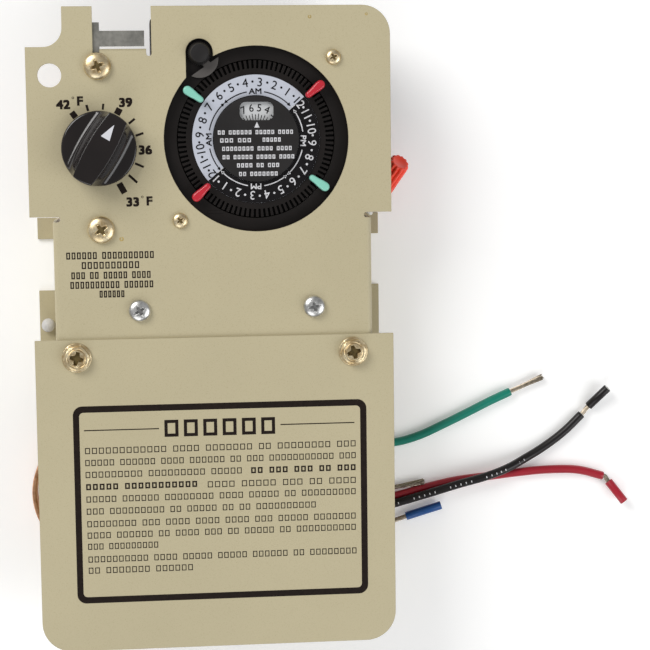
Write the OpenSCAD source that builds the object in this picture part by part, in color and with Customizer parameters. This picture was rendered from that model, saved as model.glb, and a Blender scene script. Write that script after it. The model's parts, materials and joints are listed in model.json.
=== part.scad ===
/* [Panel] */
// Thickness of the sheet steel of the panel and the cover
sheet = 1.2; // [0.8:0.1:1.6]
// Height of the panel's front face above its rear feet
panel_z = 46; // [44:0.5:50]
// Height of the panel's top edge above the top edge of the cover
panel_top = 138; // [136:1:150]
// Half width of the narrow lower part of the panel
narrow_half = 66.7; // [66:0.1:70]
// Half width over the rear feet
feet_half = 75.3; // [74:0.1:80]
// Radius of the mounting hole in the left ear
ear_hole_r = 4.9; // [3:0.1:6]

/* [Cover] */
// Half width of the wiring cover
cover_half = 75.5; // [72:0.5:80]
// Length of the wiring cover
cover_len = 133; // [120:1:150]
// Depth of the edge turned down all round the cover
cover_rim = 12; // [6:1:20]
// Radius of the cover's lower corners
cover_corner = 12.6; // [8:0.2:20]

/* [Dial] */
// Radius of the dial opening in the panel
opening_r = 38.7; // [38:0.1:40]
// Outer radius of the slotted rim that holds the trippers
dial_r = 32.8; // [32:0.1:32.9]
// Number of tripper slots, one each quarter of an hour
slots = 96; // [48, 96]
// Module of the gear teeth
tooth_m = 0.625; // [0.6:0.005:0.625]

/* [Thermostat] */
// Radius of the temperature knob
knob_r = 15.5; // [12:0.5:17]
// Height of the temperature knob
knob_h = 14; // [10:1:18]
// Distance between the two thermostat screws
thermostat_pitch = 67.6; // [60:0.1:70]

/* [Leads] */
// Outer diameter of an insulated lead
lead_d = 3.8; // [3:0.1:3.8]
// Diameter of the stranded conductor
strand_d = 2.1; // [1.6:0.1:2.2]
// Diameter of the copper capillary
capillary_d = 2.3; // [1.6:0.1:2.3]
// Turns in the coiled copper sensor
coil_turns = 4; // [2:1:4]

/* [Hidden] */
trippers = ["red_tripper_1", "red_tripper_2", "green_tripper_1", "green_tripper_2"];

// The origin is below the middle of the whole object; the panel's own zero is the
// middle of the cover's top edge
panel_x = -2.3;
panel_y = -2.5;

beige = [0.75, 0.70, 0.56];
zinc = [0.80, 0.72, 0.45];
silver = [0.80, 0.80, 0.80];
steel = [0.58, 0.57, 0.55];
black = [0.10, 0.09, 0.10];
charcoal = [0.22, 0.21, 0.21];
copper = [0.78, 0.45, 0.28];
brass = [0.80, 0.65, 0.35];
tinned = [0.66, 0.62, 0.55];
white = [0.88, 0.88, 0.88];
red = [0.78, 0.12, 0.12];
mint = [0.55, 0.85, 0.75];
green = [0.0, 0.50, 0.42];
blue = [0.12, 0.25, 0.55];

front_under = panel_z - sheet;
bend_r = 2;

// Panel outline
ear_left = -76.2;
ear_right = 75.3;
ear_top = 121.5;
ear_bottom = 51.5;
tab_left = -61;
tab_cut = 8;
notch_left = -48.5;
notch_right = -24.3;
notch_bottom = 120.6;
relief = 2.2;
narrow_top = ear_bottom - relief;
narrow_bottom = -24;
panel_corner = 12;
ear_hole = [-66.5, 109.9];
upper_feet = [40, narrow_top];
lower_feet = [-22, 17.3];

// Thermostat
knob_at = [-46.8, 79.7];
thermostat_screws_at = [for (s = [-1, 1]) knob_at + [0, s * thermostat_pitch / 2]];
frame_under = front_under - sheet;
frame_half = 14;
case_half = 27;
case_low = 22;
shaft_r = 3;

// Timer
dial_at = [18.7, 82.8];
timer_screw_off = [32.6, 33.6];
timer_screws_at = [for (s = [-1, 1]) dial_at + s * timer_screw_off];
timer_left = -24.7;
timer_right = 62;
timer_low = 38;
timer_high = 132.5;
deck_low = 40;
deck_high = front_under;
ledge_z = 41.8;
back_low = 12.5;
back_high = 14.5;
wall = 2;
post_r = 4;
post_shoulder = 29.5;
rim_low = 36;
slot_floor = 38;
rim_high = 42;
slot_w = 0.95;
slot_in = 29.4;
well_r = dial_r + 0.4;
ring_in = 18.2;
ring_out = 26.8;
ring_t = 0.6;
disc_r = 17.7;
disc_t = 0.4;
plate_low = 43;
plate_high = 44.2;

// Override knob, at the top left of the dial
override_at = [-4.6, 118.5];
override_r = 5;
lobe_r = 5.64;
flag_r = 8;
flag_off = [0, -2.1];
flag_chord = 4.0;
flag_turn = -55.4;
flag_low = 42.3;
flag_high = 43.8;
pocket_r = 10.6;

// Gear train: dial 96 teeth, reduction gear 12 and 36 teeth, motor pinion 9 teeth
dial_teeth = 96;
small_teeth = 12;
large_teeth = 36;
motor_teeth = 9;
train_angle = -45;
reduction_at = dial_at + tooth_m * (dial_teeth + small_teeth) / 2
    * [cos(train_angle), sin(train_angle)];
motor_at = reduction_at - tooth_m * (large_teeth + motor_teeth) / 2
    * [cos(train_angle), sin(train_angle)];
backlash = 0.16;

// Trippers: angle from the top, clockwise
tripper_turns = [-52.7, 123.9, 49.4, -133.5];
tripper_in = 27.2;
tripper_out = 36.9;
tripper_w = 3.8;
tripper_top = 47.6;
tripper_lip = 44.2;

// Screws
hex_at = [for (s = [-1, 1]) [58.2 * s, -7.4]];
relay_screws_at = [[-31.6, 11.8], [41.9, 12]];

// Relay behind the lower part of the panel
relay_at = [5.15, 12];
relay_size = [68, 30];
relay_low = 5;
comb_y = [-8, -3];
comb_x = [10, 16, 22, 28, 34];
comb_z = 9;

// Copper sensor coil
coil_at = [-51.2, -71.5];
coil_r = 28;
coil_pitch = capillary_d + 0.1;

// Twist-on connector behind the right edge
connector_tip = [81.5, 72, 30];
connector_dir = [0.375, 0.60, 0.707];
connector_len = 26;

// Routes of the leads, from the comb to where the insulation ends
green_route = [[34, -6, 9], [34, -9.5, 9], [34, -15, 7.4], [35, -23, 3.6], [39, -34, 1.9], [46, -44, 1.9],
    [57, -51, 1.9], [69, -54.5, 1.9], [82, -54.6, 1.9], [93, -51.9, 1.9],
    [104, -47.2, 1.9], [115, -42.1, 1.9], [125, -37.3, 1.9], [135, -32.9, 1.9]];
white_route = [[28, -6, 9], [28, -9.5, 9], [28, -15, 7.4], [29, -24, 3.6], [32, -36, 1.9], [37, -49, 1.9],
    [44, -60, 1.9], [53, -69, 1.9], [63, -74.4, 1.9], [73, -76.2, 1.9]];
red_route = [[22, -6, 9], [22, -9.5, 9], [22, -15, 7.4], [23, -24, 3.6], [25, -36, 1.9], [29, -49, 1.9],
    [36, -62, 1.9], [46, -73, 1.9], [58, -79.4, 1.9], [70, -80.6, 1.9], [82, -79.2, 1.9],
    [96, -75.8, 1.9], [110, -73, 1.9], [124, -71.6, 1.9], [138, -70.2, 1.9],
    [152, -69.3, 1.9], [166, -69.8, 1.9], [178, -73, 1.9]];
black_route = [[16, -6, 9], [16, -9.5, 9], [16, -15, 7.4], [17, -24, 3.6], [18, -38, 1.9], [21, -53, 1.9],
    [27, -67, 1.9], [37, -79, 1.9], [49, -86, 1.9], [61, -87, 2.6], [72, -84.8, 3.8],
    [84, -81.4, 4.9], [97, -77.8, 5.6], [110, -74.2, 5.8], [123, -70.9, 5.9],
    [133, -67.6, 4.9], [142, -63.5, 2.6], [151, -58.4, 1.9], [160, -51.8, 1.9],
    [168, -44.2, 1.9]];
blue_route = [[10, -6, 9], [10, -9.5, 9], [10, -15, 7.4], [10, -24, 3.6], [11, -40, 1.9], [14, -57, 1.9],
    [21, -74, 1.9], [32, -87, 1.9], [45, -94, 1.9], [58, -96, 1.9], [70, -94.4, 1.9]];

// Where each bare conductor ends, and how far its loose piece of insulation reaches
green_tip = [150, -26.5, 1.9];
white_tip = [95.4, -73.1, 1.9];
red_tip = [186.6, -83.7, 1.9];
black_tip = [178.4, -33, 1.9];
blue_tip = [101.4, -84.3, 1.9];
red_neck = [180.6, -75.6, 1.9];
black_neck = [171.2, -40.6, 1.9];
blue_neck = [86.8, -88.8, 1.9];

// Route of the capillary from the power element to the top of the coil
capillary_route = [[-46.8, 63, 12], [-46.8, 61.5, 12], [-49, 56, 10.5], [-53, 48, 9.5], [-57, 38, 9],
    [-59, 26, 9], [-60, 12, 9], [-60.5, -4, 9.4], [-61, -18, 10], [-61, -29, 10.6],
    [-61.8, -38, 10.85], [-64.2, -44.8, 10.85], [-68.4, -49.4, 10.85]];

function unit(v) = v / norm(v);
function along(p, i) = unit(p[min(i + 1, len(p) - 1)] - p[max(i - 1, 0)]);
function ring_point(c, t, r, a, across) =
    let (side = unit(cross(t, across)), up = cross(side, t))
    c + r * (cos(a) * side + sin(a) * up);
function flat(p) = [for (row = p) for (q = row) q];

// Moves everything from the panel's own zero to the object's origin
module placed() {
    translate([panel_x, panel_y, 0]) children();
}

// Round tube along a list of points, with flat ends; across is a direction that the
// route never takes
module tube(route, d, sides = 8, across = [0, 0, 1]) {
    n = len(route);
    points = flat([for (i = [0:n - 1]) [for (k = [0:sides - 1])
        ring_point(route[i], along(route, i), d / 2, 360 * (k + 0.5) / sides, across)]]);
    walls = [for (i = [0:n - 2]) for (k = [0:sides - 1])
        let (a = i * sides + k, b = i * sides + (k + 1) % sides)
        [a, b, b + sides, a + sides]];
    start = [for (k = [sides - 1:-1:0]) k];
    finish = [for (k = [0:sides - 1]) (n - 1) * sides + k];
    polyhedron(points, concat([start], walls, [finish]));
}

// Places a child that stands along +Z so that it runs from a towards b
module aim(a, b) {
    d = b - a;
    flat_len = norm([d[0], d[1]]);
    translate(a) rotate([0, atan2(flat_len, d[2]), atan2(d[1], d[0])]) children();
}

module rod(a, b, d) {
    aim(a, b) cylinder(h = norm(b - a), d = d, $fn = 32);
}

// Quarter-round bend in the sheet, its axis along +Z
module bend(h) {
    rotate_extrude(angle = 90, $fn = 32) translate([bend_r - sheet, 0]) square([sheet, h]);
}

function gear_radius(n) = n * tooth_m / 2;
// One tooth as four points, thinner than half the pitch by the backlash
function gear_points(n) =
    let (r = gear_radius(n), root = r - 1.2 * tooth_m, tip = r + 0.8 * tooth_m,
         half = (PI * tooth_m / 2 - backlash) / 2, slope = tan(20),
         w_root = half + slope * (r - root), w_tip = half - slope * (tip - r))
    [for (i = [0:n - 1]) for (q = [[root, -w_root], [tip, -w_tip], [tip, w_tip],
        [root, w_root]])
        let (a = 360 * i / n + asin(q[1] / q[0])) q[0] * [cos(a), sin(a)]];
module gear(n, h) {
    linear_extrude(h) polygon(gear_points(n));
}

// Cross recess of a screw, cut down from z = 0
module cross_recess(w) {
    for (a = [0, 90]) rotate(a) translate([-w / 2, -w / 8, -1.2]) cube([w, w / 4, 2]);
}

// Round-head screw with its head's underside at z = 0 and its shank below
module round_screw(head_r, head_h, shank_r, shank_len) {
    rise = 0.35 * head_h;
    steps = 7;
    dome = [for (i = [0:steps]) let (a = 90 * i / steps)
        [head_r * cos(a), rise + (head_h - rise) * sin(a)]];
    difference() {
        rotate_extrude($fn = 48) polygon(concat([[0, -shank_len], [shank_r, -shank_len],
            [shank_r, 0], [head_r, 0]], dome));
        translate([0, 0, head_h]) rotate(20) cross_recess(head_r);
    }
}

module panel_sheet() {
    difference() {
        union() {
            translate([tab_left, ear_bottom]) square([ear_right - tab_left - panel_corner,
                panel_top - ear_bottom]);
            translate([ear_right - 2 * panel_corner, ear_bottom])
                square([2 * panel_corner, panel_top - ear_bottom - panel_corner]);
            translate([ear_right - panel_corner, panel_top - panel_corner])
                circle(panel_corner, $fn = 64);
            translate([ear_left, ear_bottom]) square([tab_left - ear_left + 1,
                ear_top - ear_bottom]);
            translate([tab_left - tab_cut, ear_top - 1]) square([tab_cut + 1, tab_cut + 1]);
            translate([-narrow_half + bend_r, narrow_bottom])
                square([2 * (narrow_half - bend_r), ear_bottom + 1 - narrow_bottom]);
        }
        translate([tab_left - tab_cut, ear_top + tab_cut]) circle(tab_cut, $fn = 64);
        translate([notch_left, notch_bottom]) square([notch_right - notch_left, 20]);
        translate([notch_left, notch_bottom - bend_r]) square([notch_right - notch_left,
            bend_r + 1]);
        translate([notch_right - relief / 2, notch_bottom - bend_r])
            circle(relief / 2, $fn = 32);
        for (s = [-1, 1]) {
            translate([s * (narrow_half - bend_r), narrow_top + relief / 2])
                circle(relief / 2, $fn = 32);
            translate([s * (narrow_half + 8) - (8 + bend_r), narrow_top])
                square([16 + 2 * bend_r, relief]);
        }
        translate(ear_hole) circle(ear_hole_r, $fn = 64);
        translate(dial_at) circle(opening_r, $fn = 128);
        translate([override_at[0], 118.9]) circle(lobe_r, $fn = 64);
        translate([override_at[0] - lobe_r, 108]) square([2 * lobe_r, 10.9]);
        translate(knob_at) circle(5.5, $fn = 48);
        for (p = thermostat_screws_at) translate(p) circle(2.6, $fn = 32);
        for (p = timer_screws_at) translate(p) circle(1.8, $fn = 32);
        for (p = relay_screws_at) translate(p) circle(2.4, $fn = 32);
        for (p = hex_at) translate(p) circle(2.4, $fn = 32);
    }
}

// One side wall with its bends and its two outward feet, on the +X side
module panel_side() {
    wall_x = narrow_half - sheet;
    translate([wall_x, narrow_bottom, bend_r])
        cube([sheet, narrow_top - narrow_bottom, panel_z - 2 * bend_r]);
    translate([narrow_half - bend_r, narrow_top, panel_z - bend_r]) rotate([90, 0, 0])
        bend(narrow_top - narrow_bottom);
    for (f = [upper_feet, lower_feet]) {
        translate([narrow_half - sheet + bend_r, f[1], bend_r]) rotate([90, 180, 0])
            bend(f[1] - f[0]);
        translate([narrow_half - sheet + bend_r, f[0], 0])
            cube([feet_half - narrow_half + sheet - bend_r, f[1] - f[0], sheet]);
    }
}

module mounting_panel() {
    color(beige) placed() {
        translate([0, 0, front_under]) linear_extrude(sheet) panel_sheet();
        panel_side();
        mirror([1, 0, 0]) panel_side();
        // Flange turned back along the bottom of the notch
        flange_x = notch_left + 2.8;
        flange_w = notch_right - relief - flange_x;
        translate([flange_x, notch_bottom - bend_r, panel_z - bend_r])
            rotate([0, 90, 0]) rotate(90) bend(flange_w);
        translate([flange_x, notch_bottom - sheet, panel_z - 10])
            cube([flange_w, sheet, 10 - bend_r]);
    }
}

module foot_bushing() {
    color(white) placed() translate([-71.6, 2.2, sheet]) {
        rotate_extrude($fn = 48) {
            square([2.9, 3.4]);
            translate([0, 3.4]) intersection() {
                translate([0, -1.2]) circle(3.14, $fn = 64);
                square([2.9, 3]);
            }
        }
    }
}

// Outline of the cover, drawn in by a margin
module cover_outline(m) {
    r = cover_corner - m;
    translate([-cover_half + m, -cover_len + cover_corner])
        square([2 * (cover_half - m), cover_len - cover_corner]);
    translate([-cover_half + cover_corner, -cover_len + m])
        square([2 * (cover_half - cover_corner), cover_corner]);
    for (s = [-1, 1]) translate([s * (cover_half - cover_corner), -cover_len + cover_corner])
        circle(r, $fn = 64);
}

module wiring_cover() {
    color(beige) placed() {
        translate([0, 0, panel_z]) linear_extrude(sheet) difference() {
            cover_outline(0);
            for (p = hex_at) translate(p) circle(2.5, $fn = 32);
        }
        translate([0, 0, panel_z - cover_rim]) linear_extrude(cover_rim) difference() {
            cover_outline(0);
            cover_outline(sheet);
            translate([-cover_half - 1, -6]) square([2 * cover_half + 2, 7]);
        }
    }
}

// Hex head with a round boss and a cross recess in its middle
module cover_screws() {
    color(zinc) placed() for (p = hex_at) translate([p[0], p[1], panel_z + sheet])
        difference() {
            union() {
                cylinder(h = 0.9, r = 6.2, $fn = 48);
                cylinder(h = 3.4, r = 5.66, $fn = 6);
                translate([0, 0, 3.4]) cylinder(h = 0.5, r = 3.6, $fn = 48);
                translate([0, 0, -10]) cylinder(h = 10, r = 2.1, $fn = 32);
            }
            translate([0, 0, 3.9]) rotate(30) cross_recess(5);
        }
}

module thermostat_screws() {
    color(zinc) placed() for (p = thermostat_screws_at) translate([p[0], p[1], panel_z])
        round_screw(5.6, 3.2, 2.4, 9);
}

module timer_screws() {
    color(zinc) placed() for (p = timer_screws_at) translate([p[0], p[1], panel_z])
        round_screw(3.2, 2.2, 1.6, 9);
}

module relay_screws() {
    color(silver) placed() for (p = relay_screws_at) translate([p[0], p[1], panel_z])
        round_screw(4.6, 3, 2.2, 9);
}

// Galvanised plate between the panel and the thermostat, with its arm in the notch
module thermostat_frame() {
    color(steel) placed() difference() {
        translate([0, 0, frame_under]) linear_extrude(sheet) {
            translate([knob_at[0] - frame_half, knob_at[1] - 40])
                square([2 * frame_half, 78]);
            translate([knob_at[0] - frame_half, knob_at[1] + 37.9])
                square([frame_half + 1.1, 13.9]);
            translate([-50, 121.6]) square([22.8, 6.4]);
        }
        translate([knob_at[0], knob_at[1], 40]) cylinder(h = 8, r = shaft_r + 0.3, $fn = 48);
        for (p = thermostat_screws_at)
            translate([p[0], p[1], 40]) cylinder(h = 8, r = 2.5, $fn = 32);
    }
}

// Moulded switch housing behind the frame: a box open at the back
module thermostat_case() {
    color(charcoal) placed() difference() {
        translate([knob_at[0] - frame_half, knob_at[1] - case_half, case_low])
            cube([2 * frame_half, 2 * case_half, frame_under - case_low]);
        translate([knob_at[0] - frame_half + wall, knob_at[1] - case_half + wall,
            case_low - 1])
            cube([2 * (frame_half - wall), 2 * (case_half - wall),
                frame_under - case_low - wall + 1]);
        translate([knob_at[0], knob_at[1], 38]) cylinder(h = 8, r = shaft_r + 0.05, $fn = 48);
    }
}

module thermostat_terminals() {
    color(brass) placed() for (y = [-14, 0, 14])
        translate([knob_at[0] - frame_half - 4, knob_at[1] + y - 4, 30]) {
            cube([4, 8, 1]);
            translate([2, 4, 1]) cylinder(h = 2, r = 1.9, $fn = 32);
        }
}

// Bellows capsule that closes the back of the switch housing
module power_element() {
    color(copper) placed() {
        translate([knob_at[0] - frame_half, knob_at[1] - case_half, case_low - 1.5])
            cube([2 * frame_half, 2 * case_half, 1.5]);
        translate([knob_at[0], knob_at[1], 9]) rotate_extrude($fn = 64)
            polygon([[0, 0], [10.6, 0], [12, 1.2], [12, 5], [11, 6], [12, 7],
                [12, 8.5], [11, 9.5], [12, 10.5], [12, 12], [0, 12]]);
        // Spigot that the capillary comes out of
        translate([knob_at[0], 72, 12]) rotate([90, 0, 0]) cylinder(h = 9, d = 3.4, $fn = 32);
    }
}

module capillary_tube() {
    color(copper) placed() tube(capillary_route, capillary_d);
}

// The copper tube wound into flat-lying turns
module sensing_coil() {
    rings = 24 * coil_turns;
    route = [for (i = [0:rings]) let (a = 128 - 360 * i / 24)
        [coil_at[0] + coil_r * cos(a), coil_at[1] + coil_r * sin(a),
            capillary_d / 2 + 0.1 + coil_pitch * i / 24]];
    color(copper) placed() tube(route, capillary_d);
}

module thermostat_shaft() {
    color(steel) placed() translate([knob_at[0], knob_at[1], 0]) {
        translate([0, 0, 30]) cylinder(h = panel_z + 7 - 30, r = shaft_r, $fn = 48);
        translate([0, 0, 26]) cylinder(h = 4, r = 2, $fn = 32);
        // Stop tooth that meets the housing's stops at both ends of the travel
        translate([0, 0, 34]) cylinder(h = 2.5, r = 7, $fn = 48);
    }
}

// Round knob: a skirt, and a grip bar between two scooped flanks
module thermostat_knob() {
    low = panel_z + 0.6;
    color(black) placed() translate([knob_at[0], knob_at[1], low]) difference() {
        union() {
            cylinder(h = 5, r = knob_r, $fn = 96);
            translate([0, 0, 5]) intersection() {
                cylinder(h = knob_h - 5, r = knob_r - 0.8, $fn = 96);
                rotate(-28) linear_extrude(knob_h - 5) difference() {
                    square([15.5, 2 * knob_r], center = true);
                    for (s = [-1, 1]) translate([s * 26, 0]) circle(21, $fn = 96);
                }
            }
        }
        translate([0, 0, -1]) cylinder(h = 7.5, r = shaft_r, $fn = 48);
        rotate(-28) translate([0, 0, knob_h - 0.3]) pointer_shape(1);
    }
}

// Triangle near the tip of the grip bar, pointing outwards
module pointer_shape(h) {
    linear_extrude(h) polygon([[-2.9, 4.6], [2.9, 4.6], [0, 11.4]]);
}

module knob_pointer() {
    color(white) placed() translate([knob_at[0], knob_at[1], panel_z + 0.6 + knob_h - 0.3])
        rotate(-28) pointer_shape(0.35);
}

// Square nut that climbs the shaft's screw and loads the range spring
module range_nut() {
    color(brass) placed() translate([knob_at[0], knob_at[1], 27]) difference() {
        translate([-6, -6, 0]) cube([12, 12, 2.4]);
        translate([0, 0, -1]) cylinder(h = 5, r = 2.05, $fn = 32);
    }
}

module range_spring() {
    turns = 3;
    step = 12;
    low = case_low + 0.55;
    high = 26.4;
    route = [for (i = [0:turns * step]) let (a = 360 * i / step)
        [knob_at[0] + 4.4 * cos(a), knob_at[1] + 4.4 * sin(a),
            low + (high - low) * i / (turns * step)]];
    color(silver) placed() tube(route, 0.9, 6);
}

module timer_case() {
    color(black) placed() difference() {
        union() {
            difference() {
                translate([timer_left, timer_low, back_high])
                    cube([timer_right - timer_left, timer_high - timer_low,
                        deck_high - back_high]);
                translate([timer_left + wall, timer_low + wall, back_high - 1])
                    cube([timer_right - timer_left - 2 * wall,
                        timer_high - timer_low - 2 * wall, deck_low - back_high + 1]);
            }
            for (p = timer_screws_at) translate([p[0], p[1], 30])
                cylinder(h = deck_low - 30 + 1, r = 4.4, $fn = 48);
        }
        translate([dial_at[0], dial_at[1], ledge_z]) cylinder(h = 5, r = 39.3, $fn = 128);
        translate([override_at[0], override_at[1], ledge_z])
            cylinder(h = 5, r = pocket_r, $fn = 64);
        translate([dial_at[0], dial_at[1], deck_low - 1])
            cylinder(h = 9, r = well_r, $fn = 128);
        translate([override_at[0], override_at[1], deck_low - 1])
            cylinder(h = 9, r = 2.55, $fn = 32);
        for (p = timer_screws_at) translate([p[0], p[1], 29])
            cylinder(h = 20, r = 1.65, $fn = 32);
    }
}

// Movement plate with the dial's post and the reduction gear's arbor
module timer_back_plate() {
    color(black) placed() difference() {
        union() {
            translate([timer_left, timer_low, back_low])
                cube([timer_right - timer_left, timer_high - timer_low,
                    back_high - back_low]);
            translate([dial_at[0], dial_at[1], back_high - 1]) {
                cylinder(h = post_shoulder - back_high + 1, r = 6, $fn = 48);
                cylinder(h = plate_low - back_high + 1, r = post_r, $fn = 48);
            }
            translate([reduction_at[0], reduction_at[1], back_high - 1])
                cylinder(h = 20, r = 1.2, $fn = 32);
            translate([reduction_at[0], reduction_at[1], back_high - 1])
                cylinder(h = 3.4, r = 2.4, $fn = 32);
        }
        translate([motor_at[0], motor_at[1], back_low - 1])
            cylinder(h = 4, r = 1.3, $fn = 32);
    }
}

module motor_can() {
    color(silver) placed() translate([motor_at[0], motor_at[1], 1]) difference() {
        cylinder(h = back_low - 1, r = 24, $fn = 96);
        translate([0, 0, 0.8]) cylinder(h = 9.9, r = 23.2, $fn = 96);
        translate([0, 0, 9]) cylinder(h = 9, r = 1.3, $fn = 32);
    }
}

module motor_coil() {
    color([0.75, 0.40, 0.15]) placed() translate([motor_at[0], motor_at[1], 1.8])
        difference() {
            cylinder(h = 9.9, r = 22.6, $fn = 96);
            translate([0, 0, -1]) cylinder(h = 12, r = 14, $fn = 64);
        }
}

module motor_rotor() {
    color(charcoal) placed() translate([motor_at[0], motor_at[1], 3]) difference() {
        cylinder(h = 6.5, r = 12.5, $fn = 64);
        translate([0, 0, -1]) cylinder(h = 9, r = 1.2, $fn = 32);
    }
}

module motor_pinion() {
    color(brass) placed() translate([motor_at[0], motor_at[1], 0]) {
        translate([0, 0, 3]) cylinder(h = 20, r = 1.2, $fn = 32);
        translate([0, 0, 17.6]) rotate(35) gear(motor_teeth, 4);
    }
}

module reduction_gear() {
    color(white) placed() translate([reduction_at[0], reduction_at[1], 0]) difference() {
        union() {
            translate([0, 0, 18]) gear(large_teeth, 3);
            translate([0, 0, 21]) cylinder(h = 9.5, r = 3, $fn = 32);
            translate([0, 0, 30.5]) gear(small_teeth, 3.4);
        }
        translate([0, 0, 17]) cylinder(h = 20, r = 1.26, $fn = 32);
    }
}

// The dial's own rim, with a radial slot for every quarter of an hour
module slotted_rim() {
    difference() {
        circle(dial_r, $fn = 128);
        for (i = [0:slots - 1]) rotate(360 * (i + 0.5) / slots)
            translate([slot_in, -slot_w / 2]) square([dial_r - slot_in + 1, slot_w]);
    }
}

module dial_wheel() {
    color(black) placed() translate([dial_at[0], dial_at[1], 0]) difference() {
        union() {
            translate([0, 0, post_shoulder + 0.1]) cylinder(h = 3, r = 9, $fn = 64);
            translate([0, 0, 31]) gear(dial_teeth, 3);
            translate([0, 0, 34]) cylinder(h = rim_low - 34, r = 28.6, $fn = 96);
            translate([0, 0, rim_low]) cylinder(h = slot_floor - rim_low, r = dial_r,
                $fn = 128);
            translate([0, 0, slot_floor]) linear_extrude(rim_high - slot_floor)
                slotted_rim();
        }
        translate([0, 0, 20]) cylinder(h = 30, r = post_r + 0.06, $fn = 48);
    }
}

module number_ring() {
    color(white) placed() translate([dial_at[0], dial_at[1], rim_high])
        linear_extrude(ring_t) difference() {
            circle(ring_out, $fn = 128);
            circle(ring_in, $fn = 128);
        }
}

module time_disc() {
    color(white) placed() translate([dial_at[0], dial_at[1], rim_high])
        linear_extrude(disc_t) difference() {
            circle(disc_r, $fn = 96);
            circle(post_r + 0.3, $fn = 48);
        }
}

// Fixed plate with the window that the hour is read in
module centre_plate() {
    color(charcoal) placed() translate([dial_at[0], dial_at[1], plate_low])
        linear_extrude(plate_high - plate_low) difference() {
            circle(17.9, $fn = 96);
            translate([0.3, 11.6]) {
                square([9.6, 7.6], center = true);
                square([14.2, 3.6], center = true);
                for (x = [-1, 1]) for (y = [-1, 1]) translate([4.6 * x, 1.3 * y])
                    circle(2.5, $fn = 32);
            }
        }
}

// Tripper: a rounded peg on the rim with a blade in one slot
module tripper(i) {
    // The nearest slot to the stated turn
    pitch = 360 / slots;
    slot_angle = pitch * (round((90 - tripper_turns[i]) / pitch - 0.5) + 0.5);
    half = tripper_w / 2;
    translate([dial_at[0], dial_at[1], 0]) rotate(slot_angle) difference() {
        union() {
            translate([tripper_in + half, 0, ledge_z + 1.1]) {
                cylinder(h = tripper_top - ledge_z - 1.1, r = half, $fn = 32);
                translate([0, -half, 0]) cube([tripper_out - tripper_in - tripper_w,
                    tripper_w, tripper_top - ledge_z - 1.1]);
                translate([tripper_out - tripper_in - tripper_w, 0, 0])
                    cylinder(h = tripper_top - ledge_z - 1.1, r = half, $fn = 32);
            }
            translate([29.6, -half, rim_high + 0.05]) cube([2.6, tripper_w, 1]);
            translate([29.6, -0.4, slot_floor + 0.2]) cube([2.6, 0.8, 5]);
        }
        // Undercut that passes over the ledge and the override flag
        translate([32.2, -4, 36]) cube([10, 8, tripper_lip - 36]);
    }
}

module red_tripper_1() { color(red) placed() tripper(2); }
module red_tripper_2() { color(red) placed() tripper(3); }
module green_tripper_1() { color(mint) placed() tripper(0); }
module green_tripper_2() { color(mint) placed() tripper(1); }

module override_knob() {
    color(charcoal) placed() translate([override_at[0], override_at[1], 0]) {
        translate([0, 0, flag_high]) cylinder(h = 4.2, r = override_r, $fn = 64);
        translate([0, 0, flag_high + 4.2])
            cylinder(h = 1.2, r1 = override_r, r2 = override_r - 1.2, $fn = 64);
        translate([0, 0, 24]) cylinder(h = flag_high - 24, r = 2.5, $fn = 32);
    }
}

// Half-moon flag under the knob
module override_flag() {
    color([0.42, 0.41, 0.41]) placed()
        translate([override_at[0], override_at[1], flag_low])
        linear_extrude(flag_high - flag_low) difference() {
            union() {
                circle(4.6, $fn = 48);
                translate(flag_off) intersection() {
                    circle(flag_r, $fn = 64);
                    rotate(flag_turn) translate([flag_chord, -10]) square([10, 20]);
                }
                rotate(flag_turn) translate([0, -1.6]) square([7, 3.2]);
            }
            circle(2.5, $fn = 32);
        }
}

// Star of four lobes on the knob's spindle, which works the switch
module override_cam() {
    color(white) placed() translate([override_at[0], override_at[1], 24])
        linear_extrude(4) difference() {
            union() {
                circle(4.6, $fn = 48);
                for (a = [0:90:270]) rotate(a + 45) translate([4.2, 0]) circle(2, $fn = 32);
            }
            circle(2.5, $fn = 32);
        }
}

module timer_switch() {
    color([0.35, 0.18, 0.10]) placed()
        translate([dial_at[0] - 37, dial_at[1] + 11, back_high]) cube([26, 16, 6]);
}

// Three brass blades standing on the switch block
module contact_blades() {
    color(brass) placed() for (i = [0:2])
        translate([dial_at[0] - 35, dial_at[1] + 14 + 4.6 * i, back_high + 6]) {
            cube([22, 0.5, 6]);
            translate([18, 0.5, 3]) rotate([-90, 0, 0]) cylinder(h = 1, r = 1.6, $fn = 32);
        }
}

module relay_base() {
    color(charcoal) placed() difference() {
        translate([0, 0, front_under - 3]) linear_extrude(3) {
            translate(relay_at - [46, 7]) square([92, 14]);
            translate(relay_at - relay_size / 2) square(relay_size);
        }
        for (p = relay_screws_at) translate([p[0], p[1], 38])
            cylinder(h = 10, r = 2.25, $fn = 32);
    }
}

module relay_case() {
    inner = relay_size - [3, 3];
    color([0.30, 0.30, 0.32]) placed() difference() {
        translate([relay_at[0] - relay_size[0] / 2, relay_at[1] - relay_size[1] / 2,
            relay_low]) cube([relay_size[0], relay_size[1], front_under - 3 - relay_low]);
        translate([relay_at[0] - inner[0] / 2, relay_at[1] - inner[1] / 2, relay_low + 1.5])
            cube([inner[0], inner[1], 40]);
    }
}

// Coil on its core, with the armature beside it
module relay_coil() {
    color(copper) placed() translate([relay_at[0] - 12, relay_at[1], 12]) {
        cylinder(h = 2, r = 11, $fn = 64);
        cylinder(h = 22, r = 9, $fn = 64);
        translate([0, 0, 22]) cylinder(h = 2, r = 11, $fn = 64);
        translate([0, 0, -5.5]) cylinder(h = front_under - 3 - 6.5, r = 3, $fn = 32);
    }
}

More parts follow.
